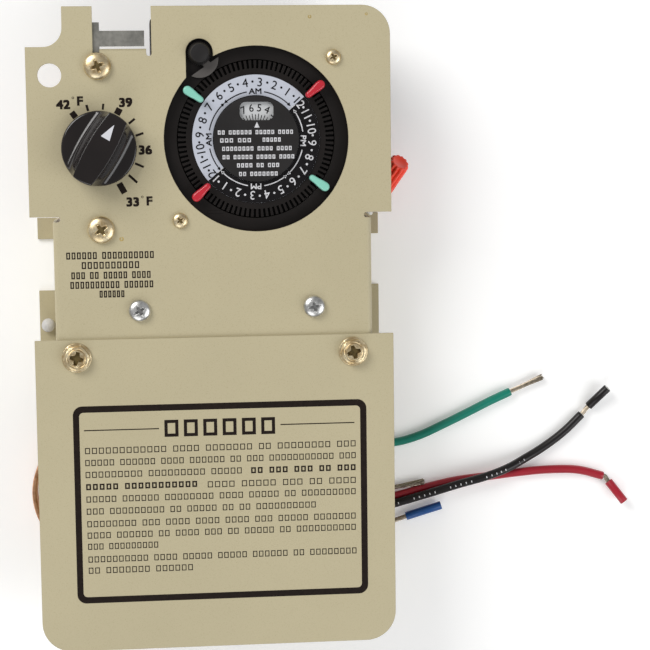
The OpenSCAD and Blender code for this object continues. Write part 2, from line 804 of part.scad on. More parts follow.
// Comb at the relay's lower end that the leads come out of
module lead_comb() {
    color(black) placed() difference() {
        translate([5, comb_y[0], 4]) cube([34, comb_y[1] - comb_y[0], 12]);
        for (x = comb_x) translate([x, comb_y[0] - 1, comb_z]) rotate([-90, 0, 0])
            cylinder(h = 3, d = lead_d, $fn = 32);
    }
}

// Fluted twist-on connector, its closed end at connector_tip
module wire_connector() {
    foot = connector_tip - connector_len * connector_dir;
    color(red) placed() aim(foot, connector_tip) difference() {
        union() {
            rotate_extrude($fn = 48) polygon([[0, 0], [6.2, 0], [6.2, 6], [5.4, 8],
                [3.9, connector_len - 1.2], [3.1, connector_len], [0, connector_len]]);
            for (a = [0:30:330]) rotate(a) translate([3.2, -0.5, 7])
                rotate([0, -3.2, 0]) cube([1.9, 1, connector_len - 8.6]);
        }
        translate([0, 0, -1]) cylinder(h = 17, r = 3.6, $fn = 48);
    }
}

// Two short leads from the timer's side into the connector
module connector_wires() {
    foot = connector_tip - connector_len * connector_dir;
    flat_dir = [connector_dir[0], connector_dir[1], 0];
    heading = flat_dir / norm(flat_dir);
    side = [heading[1], -heading[0], 0];
    rise = asin(connector_dir[2]);
    turn_r = 3;
    wire_top = 20;
    color([0.85, 0.85, 0.82]) placed() for (s = [-1, 1]) {
        end = foot + 1.9 * s * side;
        centre = end - 2 * connector_dir - turn_r * (sin(rise) * heading - [0, 0, cos(rise)]);
        turn = [for (i = [0:7]) let (a = -90 + (rise + 90) * i / 7)
            centre + turn_r * (sin(a) * heading - [0, 0, cos(a)])];
        drop = [for (a = [0:15:90]) [turn[0][0] - turn_r * (1 - sin(a)),
            turn[0][1] + 2 * pow(cos(a), 2), wire_top - turn_r * (1 - cos(a))]];
        tube(concat([[timer_right, drop[0][1], wire_top]], drop, turn,
            [end, end + 9 * connector_dir]), 2.2, across = [0, 1, 0]);
    }
}

function end_of(route) = route[len(route) - 1];
// A point straight ahead of where a lead's insulation ends
function ahead(route, d) =
    end_of(route) + d * unit(end_of(route) - route[len(route) - 2]);
module strands(points) {
    color(tinned) placed() tube(points, strand_d);
}

// Loose length of insulation left on a conductor
module slug(a, b, c) {
    color(c) placed() difference() {
        rod(a, b, lead_d);
        aim(a, b) translate([0, 0, -1]) cylinder(h = norm(b - a) + 2, d = strand_d + 0.3,
            $fn = 32);
    }
}

// The slug reaches this far past the end of its conductor
function past(a, b, extra) = b + extra * unit(b - a);

module green_lead() { color(green) placed() tube(green_route, lead_d); }
module white_lead() { color(white) placed() tube(white_route, lead_d); }
module red_lead() { color(red) placed() tube(red_route, lead_d); }
module black_lead() { color(black) placed() tube(black_route, lead_d); }
module blue_lead() { color(blue) placed() tube(blue_route, lead_d); }
module green_strands() {
    strands([ahead(green_route, 0.05), ahead(green_route, 1), green_tip]);
}
module white_strands() {
    strands([ahead(white_route, 0.05), ahead(white_route, 1), white_tip]);
}
module red_strands() {
    strands([ahead(red_route, 0.05), ahead(red_route, 1), red_neck, red_tip]);
}
module black_strands() {
    strands([ahead(black_route, 0.05), ahead(black_route, 1), black_neck, black_tip]);
}
module blue_strands() {
    strands([ahead(blue_route, 0.05), ahead(blue_route, 1), blue_neck, blue_tip]);
}
module red_slug() { slug(red_neck, past(red_neck, red_tip, 1.4), [0.80, 0.20, 0.24]); }
module black_slug() { slug(black_neck, past(black_neck, black_tip, 1.4), black); }
module blue_slug() { slug(blue_neck, past(blue_neck, blue_tip, 1.4), blue); }

mounting_panel();
foot_bushing();
wiring_cover();
cover_screws();
thermostat_screws();
timer_screws();
relay_screws();
thermostat_frame();
thermostat_case();
thermostat_terminals();
power_element();
capillary_tube();
sensing_coil();
thermostat_shaft();
thermostat_knob();
knob_pointer();
range_nut();
range_spring();
timer_case();
timer_back_plate();
motor_can();
motor_coil();
motor_rotor();
motor_pinion();
reduction_gear();
dial_wheel();
number_ring();
time_disc();
centre_plate();
override_knob();
override_flag();
override_cam();
timer_switch();
contact_blades();
relay_base();
relay_case();
relay_coil();
lead_comb();
wire_connector();
connector_wires();
green_lead();
white_lead();
red_lead();
black_lead();
blue_lead();
green_strands();
white_strands();
red_strands();
black_strands();
blue_strands();
red_slug();
black_slug();
blue_slug();
red_tripper_1();
red_tripper_2();
green_tripper_1();
green_tripper_2();
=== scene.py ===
"""Control panel with a 24 hour dial timer and a freeze-protection thermostat.

Every CAD node gets its material here, and those that need finer shapes are replaced. Sizes are
in millimetres, in the panel's own coordinates, until at() or MM brings them to metres.
"""

import json
import math
from functools import partial

import bpy
from mathutils import Euler, Matrix, Vector

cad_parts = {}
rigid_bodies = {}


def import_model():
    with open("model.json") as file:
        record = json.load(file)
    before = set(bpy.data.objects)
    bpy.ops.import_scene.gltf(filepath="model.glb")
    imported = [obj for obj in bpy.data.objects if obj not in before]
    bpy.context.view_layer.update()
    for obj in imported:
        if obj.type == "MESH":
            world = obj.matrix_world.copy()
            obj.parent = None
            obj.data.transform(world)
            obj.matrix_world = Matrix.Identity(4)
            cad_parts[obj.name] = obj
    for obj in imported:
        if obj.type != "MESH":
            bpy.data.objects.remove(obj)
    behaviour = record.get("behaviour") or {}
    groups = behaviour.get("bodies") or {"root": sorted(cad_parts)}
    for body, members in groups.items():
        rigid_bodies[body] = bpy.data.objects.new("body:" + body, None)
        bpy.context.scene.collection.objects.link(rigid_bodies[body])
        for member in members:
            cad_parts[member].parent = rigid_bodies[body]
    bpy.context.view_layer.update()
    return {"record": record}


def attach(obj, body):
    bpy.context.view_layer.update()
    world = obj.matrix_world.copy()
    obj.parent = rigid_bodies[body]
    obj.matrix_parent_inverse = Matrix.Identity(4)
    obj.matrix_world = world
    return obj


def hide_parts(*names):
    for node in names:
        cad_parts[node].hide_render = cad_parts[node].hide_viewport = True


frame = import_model()

MM = 0.001
ORIGIN = (-2.3, -2.5)  # the panel's own zero in the frame
UP = Vector((0, 0, 1))
PANEL_FACE = 46.0      # heights over the feet
COVER_FACE = 47.2
DIAL = (18.7, 82.8)
KNOB = (-46.8, 79.7)
OVERRIDE = (-4.6, 118.5)


def at(x, y, z=0.0):
    """A point given in the panel's own millimetres, in the frame's metres."""
    return Vector(((x + ORIGIN[0]) * MM, (y + ORIGIN[1]) * MM, z * MM))


def turned(u, v, a):
    """The point (u, v) turned by the angle a about zero."""
    return u * math.cos(a) - v * math.sin(a), u * math.sin(a) + v * math.cos(a)


def angles(count):
    return [2 * math.pi * k / count for k in range(count)]


def add_object(name, data):
    obj = bpy.data.objects.new(name, data)
    bpy.context.scene.collection.objects.link(obj)
    return obj


def around(centre, r, turn):
    """The point at radius r from the centre; turn in degrees, clockwise from the top."""
    a = math.radians(turn)
    return centre[0] + r * math.sin(a), centre[1] + r * math.cos(a)


# --- camera
CAMERA_PLACE = (-0.0355, 0.0832, 0.8332)
CAMERA_TILT = (-5.83, -5.85, -0.71)  # degrees about x, then y, then z
CAMERA_LENS = 103.918154             # for a sensor 36 mm wide


def add_camera():
    camera = add_object("camera", bpy.data.cameras.new("camera"))
    tilt = Euler([math.radians(a) for a in CAMERA_TILT])
    camera.matrix_world = Matrix.Translation(CAMERA_PLACE) @ tilt.to_matrix().to_4x4()
    camera.data.sensor_width = 36.0
    camera.data.lens = CAMERA_LENS
    camera.data.clip_start = 0.01
    camera.data.clip_end = 20.0
    bpy.context.scene.camera = camera


add_camera()


# --- materials
class Nodes:
    """A material's node tree, with short ways to add and join nodes."""

    def __init__(self, name):
        self.mat = bpy.data.materials.new(name)
        self.mat.use_nodes = True
        self.tree = self.mat.node_tree
        self.shader = self.tree.nodes["Principled BSDF"]
        self.coords = self.tree.nodes.new("ShaderNodeTexCoord").outputs["Object"]

    def add(self, kind, **values):
        """A node; values set its sockets by name, or else its properties."""
        node = self.tree.nodes.new("ShaderNode" + kind)
        for key, value in values.items():
            if key in node.inputs:
                node.inputs[key].default_value = value
            else:
                setattr(node, key, value)
        return node

    def join(self, output, socket):
        self.tree.links.new(output, socket)

    def drive(self, socket, output):
        """Feeds one of the shader's own sockets."""
        self.join(output, self.shader.inputs[socket])

    def set(self, socket, value):
        self.shader.inputs[socket].default_value = value

    def noise(self, scale, detail=3.0, rough=0.55):
        node = self.add("TexNoise", Scale=scale, Detail=detail, Roughness=rough)
        self.join(self.coords, node.inputs["Vector"])
        return node.outputs["Fac"]

    def ramp(self, fac, stops):
        """Colours at places along a ramp."""
        node = self.add("ValToRGB")
        ends = node.color_ramp.elements
        while len(ends) < len(stops):
            ends.new(0.5)
        for end, (place, color) in zip(ends, stops):
            end.position = place
            end.color = (*color, 1.0)
        self.join(fac, node.inputs["Fac"])
        return node.outputs["Color"]

    def spread(self, fac, low, high):
        """A value from 0 to 1 brought to the range from low to high."""
        node = self.add("MapRange")
        node.inputs["To Min"].default_value = low
        node.inputs["To Max"].default_value = high
        self.join(fac, node.inputs["Value"])
        return node.outputs["Result"]

    def multiply(self, fac, base, over):
        node = self.add("Mix", data_type="RGBA", blend_type="MULTIPLY")
        node.inputs[0].default_value = fac
        self.join(base, node.inputs[6])
        self.join(over, node.inputs[7])
        return node.outputs[2]

    def bump(self, height, strength, distance, edge=None):
        """Bumps over edges rounded to the radius edge, if there is one."""
        node = self.add("Bump", Strength=strength, Distance=distance)
        self.join(height, node.inputs["Height"])
        if edge is not None:
            bevel = self.add("Bevel", samples=6, Radius=edge)
            self.join(bevel.outputs["Normal"], node.inputs["Normal"])
        self.drive("Normal", node.outputs["Normal"])


def shade(color, k):
    return tuple(min(1.0, max(0.0, c * k)) for c in color)


def plastic(name, color, rough=0.4, vary=0.12, grain=1500.0, bump=0.08, edge=0.0002, coat=0.0,
            gloss=0.5):
    """Moulded plastic: cloudy colour, a fine grain and uneven gloss."""
    nodes = Nodes(name)
    cloud = nodes.noise(scale=45.0, detail=4.0)
    nodes.drive("Base Color", nodes.ramp(cloud, [(0.3, shade(color, 1 - vary)),
                                                 (0.7, shade(color, 1 + vary))]))
    nodes.drive("Roughness", nodes.spread(nodes.noise(scale=160.0), rough * 0.85, rough * 1.2))
    nodes.bump(nodes.noise(grain, detail=2.0), bump, distance=0.0001, edge=edge)
    nodes.set("Specular IOR Level", gloss)
    nodes.set("Coat Weight", coat)
    nodes.set("Coat Roughness", 0.12)
    return nodes.mat


def metal(name, color, other, rough=0.3, scale=220.0, bump=0.1, metallic=1.0, edge=0.00025):
    """Plated or drawn metal in two mottled colours."""
    nodes = Nodes(name)
    cloud = nodes.noise(scale, detail=5.0, rough=0.65)
    nodes.drive("Base Color", nodes.ramp(cloud, [(0.35, other), (0.62, color)]))
    smear = nodes.noise(scale * 4, detail=2.0)
    nodes.drive("Roughness", nodes.spread(smear, rough * 0.75, rough * 1.35))
    nodes.bump(nodes.noise(scale * 8), bump, distance=0.00008, edge=edge)
    nodes.set("Metallic", metallic)
    return nodes.mat


def paint(name, color):
    """Powder coat on sheet steel: a fine orange peel, small specks, soft edges."""
    nodes = Nodes(name)
    cloud = nodes.ramp(nodes.noise(scale=14.0, detail=4.0),
                       [(0.25, shade(color, 0.955)), (0.75, shade(color, 1.03))])
    specks = nodes.ramp(nodes.noise(scale=2600.0, detail=1.0),
                        [(0.30, shade(color, 0.86)), (0.42, (1, 1, 1))])
    nodes.drive("Base Color", nodes.multiply(0.20, cloud, specks))
    nodes.drive("Roughness", nodes.spread(nodes.noise(scale=90.0), 0.42, 0.56))
    nodes.bump(nodes.noise(scale=1100.0, detail=2.0, rough=0.5), 0.10, distance=0.0002,
               edge=0.0005)
    return nodes.mat


def ink(name, color):
    """Matt ink, a little uneven; the same flat colour also makes the painted shade at the bottom
    of the screws' cross recesses.
    """
    nodes = Nodes(name)
    nodes.drive("Base Color", nodes.ramp(nodes.noise(scale=900.0), [(0.3, shade(color, 0.8)),
                                                                    (0.75, shade(color, 1.35))]))
    nodes.drive("Roughness", nodes.spread(nodes.noise(scale=500.0), 0.45, 0.65))
    nodes.set("Specular IOR Level", 0.12)
    return nodes.mat


PLASTICS = {
    "black_plastic": dict(color=(0.0075, 0.0052, 0.0045), rough=0.42, vary=0.25, gloss=0.28),
    "knob_black": dict(color=(0.0100, 0.0070, 0.0066), rough=0.16, vary=0.25, grain=900.0,
                       bump=0.02, edge=None, coat=0.2, gloss=0.45),
    "charcoal_plastic": dict(color=(0.016, 0.0145, 0.0145), vary=0.25, gloss=0.35),
    "grey_plastic": dict(color=(0.088, 0.080, 0.075), rough=0.42, vary=0.2, grain=2600.0,
                         bump=0.2),
    "phenolic": dict(color=(0.045, 0.022, 0.012), vary=0.30, grain=700.0, bump=0.15),
    "white_plastic": dict(color=(0.62, 0.61, 0.60), rough=0.45, vary=0.05),
    "dial_white": dict(color=(0.52, 0.545, 0.62), rough=0.42, vary=0.04, grain=1800.0,
                       bump=0.04),
    "disc_white": dict(color=(0.58, 0.59, 0.60), rough=0.42, vary=0.04, grain=1800.0,
                       bump=0.04),
    "pointer_white": dict(color=(0.66, 0.66, 0.70), rough=0.35, vary=0.05, edge=None),
    "tripper_red": dict(color=(0.56, 0.018, 0.035), rough=0.28, coat=0.3),
    "tripper_mint": dict(color=(0.26, 0.66, 0.53), rough=0.30, vary=0.08, coat=0.3),
    "connector_red": dict(color=(0.93, 0.062, 0.028), rough=0.34, vary=0.10),
    "lead_green": dict(color=(0.0, 0.215, 0.150), rough=0.30, edge=None),
    "lead_white": dict(color=(0.74, 0.74, 0.71), rough=0.34, vary=0.05, edge=None),
    "lead_red": dict(color=(0.36, 0.012, 0.026), rough=0.30, edge=None),
    "lead_black": dict(color=(0.010, 0.008, 0.008), rough=0.30, vary=0.25, edge=None,
                       gloss=0.35),
    "lead_blue": dict(color=(0.012, 0.085, 0.30), rough=0.30, edge=None),
}
METALS = {
    "yellow_zinc": dict(color=(0.84, 0.73, 0.50), other=(0.60, 0.44, 0.23), rough=0.36,
                        scale=300.0, bump=0.08),
    "bright_zinc": dict(color=(0.82, 0.82, 0.81), other=(0.50, 0.50, 0.49), scale=380.0),
    "galvanised": dict(color=(0.36, 0.35, 0.32), other=(0.24, 0.235, 0.215), rough=0.42,
                       scale=140.0, bump=0.12, metallic=0.75),
    "copper": dict(color=(0.87, 0.50, 0.30), other=(0.42, 0.19, 0.09), scale=110.0, bump=0.08,
                   edge=None),
    "brass": dict(color=(0.78, 0.60, 0.28), other=(0.45, 0.33, 0.14), rough=0.32, scale=200.0),
    "coil_enamel": dict(color=(0.50, 0.20, 0.08), other=(0.30, 0.10, 0.04), rough=0.25,
                        scale=300.0),
    "tinned_wire": dict(color=(0.46, 0.40, 0.32), other=(0.24, 0.20, 0.15), rough=0.36,
                        scale=900.0, edge=None),
}
# Inks for the print and the rust stains, and two dark colours of painted shade that lie at the
# bottom of the screws' cross recesses, where shade falls
INKS_AND_PAINTED_SHADE = {"ink_brown": (0.014, 0.009, 0.007), "ink_black": (0.008, 0.007, 0.008),
        "ink_white": (0.60, 0.60, 0.62), "ink_stain": (0.42, 0.31, 0.11),
        "painted_shade_brown": (0.115, 0.085, 0.035), "painted_shade_grey": (0.16, 0.16, 0.16)}
MATERIALS = {"panel_paint": paint("panel_paint", color=(0.512, 0.452, 0.292))}
MATERIALS.update({name: plastic(name, **look) for name, look in PLASTICS.items()})
MATERIALS.update({name: metal(name, **look) for name, look in METALS.items()})
MATERIALS.update({name: ink(name, color) for name, color in INKS_AND_PAINTED_SHADE.items()})

for part in frame["record"]["subparts"]:
    node = bpy.data.objects[part["node"]]
    node.data.materials.clear()
    node.data.materials.append(MATERIALS[part["material_slot"]])
    for polygon in node.data.polygons:
        polygon.material_index = 0


# --- mesh helpers
def value(given, a):
    """A radius or height: a number, or a function of the angle."""
    return given(a) if callable(given) else given


class Shape:
    """Vertices and faces gathered from several simple forms."""

    def __init__(self):
        self.verts = []
        self.faces = []

    def add(self, verts, faces):
        start = len(self.verts)
        self.verts += [Vector(v) for v in verts]
        self.faces += [tuple(i + start for i in f) for f in faces]

    def prism(self, outline, low, high):
        """A flat outline, counter-clockwise, given thickness."""
        n = len(outline)
        self.add([(x, y, low) for x, y in outline] + [(x, y, high) for x, y in outline],
                 [tuple(range(n - 1, -1, -1)), tuple(range(n, 2 * n))]
                 + [(i, (i + 1) % n, n + (i + 1) % n, n + i) for i in range(n)])

    def band(self, centre, r0, r1, a0, a1, low, high, steps=48):
        """Part of a flat ring; angles in degrees, clockwise from the top."""
        rows = []
        for k in range(steps + 1):
            a = math.radians(a0 + (a1 - a0) * k / steps)
            for r, z in ((r0, low), (r1, low), (r1, high), (r0, high)):
                rows.append((centre.x + r * math.sin(a), centre.y + r * math.cos(a), z))
        faces = [(3, 2, 1, 0), tuple(4 * steps + i for i in range(4))]
        for k in range(steps):
            for i in range(4):
                j = (i + 1) % 4
                faces.append((4 * k + i, 4 * k + j, 4 * k + 4 + j, 4 * k + 4 + i))
        self.add(rows, faces)

    def loft(self, rings, caps=True):
        """Rings of equal length joined one to the next."""
        n = len(rings[0])
        faces = [(k * n + i, k * n + (i + 1) % n, (k + 1) * n + (i + 1) % n, (k + 1) * n + i)
                 for k in range(len(rings) - 1) for i in range(n)]
        if caps:
            faces += [tuple(range(n - 1, -1, -1)),
                      tuple((len(rings) - 1) * n + i for i in range(n))]
        self.add([v for ring in rings for v in ring], faces)

    def lathe(self, centre, low, rows, sides):
        """Rings about an upright axis, from rows of (radius, height over low) in mm."""
        self.loft([[(centre.x + value(r, a) * math.cos(a) * MM,
                     centre.y + value(r, a) * math.sin(a) * MM,
                     (low + value(z, a)) * MM) for a in angles(sides)] for r, z in rows])


def piece(name, shape, mat, body, replaces=None, sharp=35.0):
    """A new object from a shape in metres, riding on a body."""
    mesh = bpy.data.meshes.new(name)
    mesh.from_pydata([tuple(v) for v in shape.verts], [], [tuple(f) for f in shape.faces])
    mesh.validate()
    mesh.update()
    mesh.shade_smooth()
    mesh.set_sharp_from_angle(angle=math.radians(sharp))
    mesh.materials.append(MATERIALS[mat])
    obj = add_object(name, mesh)
    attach(obj, body)
    if replaces:
        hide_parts(replaces)
    return obj


def smooth_path(points, step=1.2 * MM):
    """An even, rounded run through the points (a Catmull-Rom spline)."""
    p = [Vector(q) for q in points]
    p = [2 * p[0] - p[1]] + p + [2 * p[-1] - p[-2]]
    out = []
    for i in range(1, len(p) - 2):
        n = max(2, round((p[i + 1] - p[i]).length / step))
        for k in range(n):
            t = k / n
            out.append(0.5 * (2 * p[i] + (p[i + 1] - p[i - 1]) * t
                              + (2 * p[i - 1] - 5 * p[i] + 4 * p[i + 1] - p[i + 2]) * t * t
                              + (3 * p[i] - p[i - 1] - 3 * p[i + 1] + p[i + 2]) * t ** 3))
    out.append(p[-2])
    return out


def frames(path):
    """At each point of a path: the point, the way ahead and two directions across, no twist."""
    out = []
    side = None
    for i, point in enumerate(path):
        ahead = (path[min(i + 1, len(path) - 1)] - path[max(i - 1, 0)]).normalized()
        if side is None:
            side = ahead.cross(UP)
            if side.length < 0.1:
                side = ahead.cross(Vector((0, 1, 0)))
        side = (side - side.dot(ahead) * ahead).normalized()
        out.append((point, ahead, side, ahead.cross(side)))
    return out


def ring(point, side, up, r, sides):
    return [point + value(r, a) * (math.cos(a) * side + math.sin(a) * up) for a in angles(sides)]


def tube(shape, path, r, sides=20, round_end=0.0):
    """A tube along a path; round_end eases the edges of its ends."""
    rows = frames(path)
    rings = [ring(point, side, up, r, sides) for point, _, side, up in rows]
    if round_end:
        for end, sign in ((0, 1), (-1, -1)):
            point, ahead, side, up = rows[end]
            rings[end] = ring(point + sign * round_end * ahead, side, up, r, sides)
            tip = ring(point, side, up, r - round_end, sides)
            rings.insert(0 if end == 0 else len(rings), tip)
    shape.loft(rings)


def run(path):
    """A path's length."""
    return sum((b - a).length for a, b in zip(path, path[1:]))


# --- leads
LEAD_R = 1.9
# The same points as in part.scad, from the comb to where the insulation ends
ROUTES = {
    "green": [(34, -6, 9), (34, -9.5, 9), (34, -15, 7.4), (35, -23, 3.6), (39, -34, 1.9),
              (46, -44, 1.9), (57, -51, 1.9), (69, -54.5, 1.9), (82, -54.6, 1.9),
              (93, -51.9, 1.9), (104, -47.2, 1.9), (115, -42.1, 1.9), (125, -37.3, 1.9),
              (135, -32.9, 1.9)],
    "white": [(28, -6, 9), (28, -9.5, 9), (28, -15, 7.4), (29, -24, 3.6), (32, -36, 1.9),
              (37, -49, 1.9), (44, -60, 1.9), (53, -69, 1.9), (63, -74.4, 1.9),
              (73, -76.2, 1.9)],
    "red": [(22, -6, 9), (22, -9.5, 9), (22, -15, 7.4), (23, -24, 3.6), (25, -36, 1.9),
            (29, -49, 1.9), (36, -62, 1.9), (46, -73, 1.9), (58, -79.4, 1.9), (70, -80.6, 1.9),
            (82, -79.2, 1.9), (96, -75.8, 1.9), (110, -73, 1.9), (124, -71.6, 1.9),
            (138, -70.2, 1.9), (152, -69.3, 1.9), (166, -69.8, 1.9), (178, -73, 1.9)],
    "black": [(16, -6, 9), (16, -9.5, 9), (16, -15, 7.4), (17, -24, 3.6), (18, -38, 1.9),
              (21, -53, 1.9), (27, -67, 1.9), (37, -79, 1.9), (49, -86, 1.9), (61, -87, 2.6),
              (72, -84.8, 3.8), (84, -81.4, 4.9), (97, -77.8, 5.6), (110, -74.2, 5.8),
              (123, -70.9, 5.9), (133, -67.6, 4.9), (142, -63.5, 2.6), (151, -58.4, 1.9),
              (160, -51.8, 1.9), (168, -44.2, 1.9)],
    "blue": [(10, -6, 9), (10, -9.5, 9), (10, -15, 7.4), (10, -24, 3.6), (11, -40, 1.9),
             (14, -57, 1.9), (21, -74, 1.9), (32, -87, 1.9), (45, -94, 1.9), (58, -96, 1.9),
             (70, -94.4, 1.9)],
}
# Where each loose length of insulation starts on the strands
NECKS = {"red": (180.6, -75.6, 1.9), "black": (171.2, -40.6, 1.9), "blue": (86.8, -88.8, 1.9)}
# Where the strands end; a loose length lifts a little, which shows its open end
TIPS = {"green": (150, -26.5, 1.9), "white": (95.4, -73.1, 1.9), "red": (186.6, -83.7, 4.4),
        "black": (178.4, -33, 4.6), "blue": (101.4, -84.3, 3.2)}
SPREADS = {"green": 0.9, "white": 1.1}  # how far free strands fan out
HELD_SPREAD = 0.25                      # and strands that a loose length holds
STRANDS = 9
STRAND_R = 0.31
CORE_R = 0.55
STRAND_LAY = 15.0   # length of one twist
STRAND_RING = 0.74  # the strands' middles lie on this radius
FAN_START = 0.55    # share of the length before they fan out


def strand_bundle(shape, path, spread):
    """Strands twisted round a core, with staggered ends."""
    rows = frames(path)
    tube(shape, path, CORE_R * MM, 10)
    length = run(path)
    gone = 0.0
    lines = [[] for _ in range(STRANDS)]
    for i, (point, _, side, up) in enumerate(rows):
        if i:
            gone += (point - rows[i - 1][0]).length
        out = (STRAND_RING + spread * max(0.0, gone / length - FAN_START)) * MM
        for k, line in enumerate(lines):
            a = 2 * math.pi * (k / STRANDS + gone / (STRAND_LAY * MM))
            line.append(point + out * (math.cos(a) * side + math.sin(a) * up))
    for k, line in enumerate(lines):
        tube(shape, line[:len(line) - k * 5 % 3], STRAND_R * MM, 7)


def hollow(start, end, outer, inner):
    """A length of insulation with a hole through it and eased ends."""
    ahead = (end - start).normalized()
    side = ahead.cross(UP).normalized()
    up = ahead.cross(side)
    edge = 0.22 * MM
    inside = 1.2 * MM
    rows = [(start, inner), (start, outer - edge),
            (start + ahead * edge * 0.4, outer - edge * 0.35), (start + ahead * edge, outer),
            (end - ahead * edge, outer), (end - ahead * edge * 0.4, outer - edge * 0.35),
            (end, outer - edge), (end, inner), (end - ahead * inside, inner * 0.98),
            (start, inner)]
    form = Shape()
    form.loft([ring(point, side, up, r, 28) for point, r in rows], caps=False)
    return form


def loose_length(color, tip):
    """The length of insulation slid toward the strands' end, and the white ring inside it."""
    neck = at(*NECKS[color])
    ahead = (tip - neck).normalized()
    far = tip + 1.4 * MM * ahead
    stub = piece(f"{color}_stub", hollow(neck, far, LEAD_R * MM, 1.2 * MM), f"lead_{color}",
                 "panel", replaces=f"{color}_slug")
    liner = hollow(far - 2.0 * MM * ahead, far + 0.06 * MM * ahead, 1.5 * MM, 1.05 * MM)
    return [stub, piece(f"{color}_liner", liner, "lead_white", "panel")]


def lead(color, route):
    """One lead: insulation, strands, the ring at its cut end and any loose length."""
    path = smooth_path([at(*point) for point in route])
    form = Shape()
    tube(form, path, LEAD_R * MM, 24, 0.2 * MM)
    insulation = piece(f"{color}_insulation", form, f"lead_{color}", "panel",
                       replaces=f"{color}_lead", sharp=50)
    end = path[-1]
    ahead = (end - path[-2]).normalized()
    tip = at(*TIPS[color])
    bare = [end - ahead * MM, end + ahead * MM, tip]
    if color in NECKS:
        bare.insert(2, at(*NECKS[color]))
    form = Shape()
    strand_bundle(form, smooth_path(bare, 0.5 * MM), SPREADS.get(color, HELD_SPREAD))
    strands = piece(f"{color}_wires", form, "tinned_wire", "panel",
                    replaces=f"{color}_strands")
    collar = hollow(end - 1.5 * MM * ahead, end + 0.12 * MM * ahead, 1.7 * MM, 1.1 * MM)
    along = [strands, piece(f"{color}_collar", collar, "lead_white", "panel")]
    if color in NECKS:
        along += loose_length(color, tip)


for color, route in ROUTES.items():
    lead(color, route)


def lead_marks():
    """Dashes along the black lead, in the place of its print."""
    path = smooth_path([at(*point) for point in ROUTES["black"]])
    start, end = 0.40, 0.86  # the printed share of the lead
    group, printed = 14, 10  # steps of the path in a group, and the ones that carry print
    half_long, half_wide = 0.22, 0.45
    form = Shape()
    gone = 0.0
    rows = frames(path)
    for i, (point, ahead, _, _) in enumerate(rows[:-1]):
        gone += (rows[i + 1][0] - point).length
        if not start < gone / run(path) < end or i % group >= printed or i % 2 == 0:
            continue
        across = Vector((-ahead.y, ahead.x, 0)).normalized()
        form.add([point + (u * ahead + v * across + z * UP) * MM
                  for z in (LEAD_R - 0.10, LEAD_R + 0.03)
                  for u, v in ((-half_long, -half_wide), (half_long, -half_wide),
                               (half_long, half_wide), (-half_long, half_wide))],
                 [(0, 3, 2, 1), (4, 5, 6, 7), (0, 1, 5, 4), (1, 2, 6, 5), (2, 3, 7, 6),
                  (3, 0, 4, 7)])
    piece("lead_marks", form, "ink_white", "panel")


# --- capillary and its coil
CAPILLARY_R = 1.15
CAPILLARY = [(-46.8, 63, 12), (-46.8, 61.5, 12), (-49, 56, 10.5), (-53, 48, 9.5),
             (-57, 38, 9), (-59, 26, 9), (-60, 12, 9), (-60.5, -4, 9.4), (-61, -18, 10),
             (-61, -29, 10.6), (-61.8, -38, 10.85), (-64.2, -44.8, 10.85), (-68.4, -49.4, 10.85)]
COIL = (-51.2, -71.5)
COIL_R = 28
COIL_TURNS = 4
COIL_STEPS = 90  # for each turn
COIL_START = 128
COIL_LOW = 1.25
COIL_RISE = 2.4  # for each turn


def capillary():
    path = smooth_path([at(*point) for point in CAPILLARY], 1.5 * MM)
    form = Shape()
    tube(form, path, CAPILLARY_R * MM, 16)
    piece("capillary_line", form, "copper", "panel", replaces="capillary_tube")


def sensing_coil():
    path = []
    for i in range(COIL_TURNS * COIL_STEPS + 1):
        a = math.radians(COIL_START - 360 / COIL_STEPS * i)
        path.append(at(COIL[0] + COIL_R * math.cos(a), COIL[1] + COIL_R * math.sin(a),
                       COIL_LOW + COIL_RISE * i / COIL_STEPS))
    form = Shape()
    tube(form, path, CAPILLARY_R * MM, 16, 0.3 * MM)
    piece("coiled_sensor", form, "copper", "panel", replaces="sensing_coil")


capillary()
sensing_coil()

# --- knob
KNOB_FOOT = 46.6
KNOB_R = 15.5
KNOB_H = 14.0
SKIRT_H = 5.2
GRIP_TURN = math.radians(-31)
GRIP_OFF = 0.7   # the grip stands this far off the middle
GRIP_FALL = 0.10  # how much lower the grip's sides are than its ridge
RIM_ROUND = 0.9
GRIP_ROUND = 0.35


def grip_half(q):
    """Half the grip's width at q along it: it narrows toward both ends."""
    return 5.5 - 1.5 * (q / KNOB_R) ** 2


def scoop_half(q):
    """How far from the grip's middle its flanks reach the skirt."""
    return 10.2 - 1.2 * (q / KNOB_R) ** 2


def ease(d, r):
    """How far a rounded edge of radius r has fallen at a distance d from its side."""
    return 0.0 if d >= r else r - math.sqrt(max(0.0, r * r - (r - d) ** 2))


def knob_height(p, q):
    """Height over the knob's foot: a skirt, scooped flanks and a grip across the middle."""
    half = grip_half(q)
    foot = scoop_half(q)
    d = abs(p - GRIP_OFF)
    flank = min(1.0, max(0.0, (foot - d) / (foot - half)))
    rise = 0.5 * flank ** 1.9 + 0.5 * flank ** 4
    top = KNOB_H - GRIP_FALL * min(1.0, (d / half) ** 2)
    h = SKIRT_H + (top - SKIRT_H) * rise
    if d < half:
        h -= ease(half - d, GRIP_ROUND) * 0.6
    return h - ease(KNOB_R - math.hypot(p, q), RIM_ROUND)


def on_knob(p, q):
    u, v = turned(p, q, GRIP_TURN)
    centre = at(*KNOB)
    return centre.x + u * MM, centre.y + v * MM


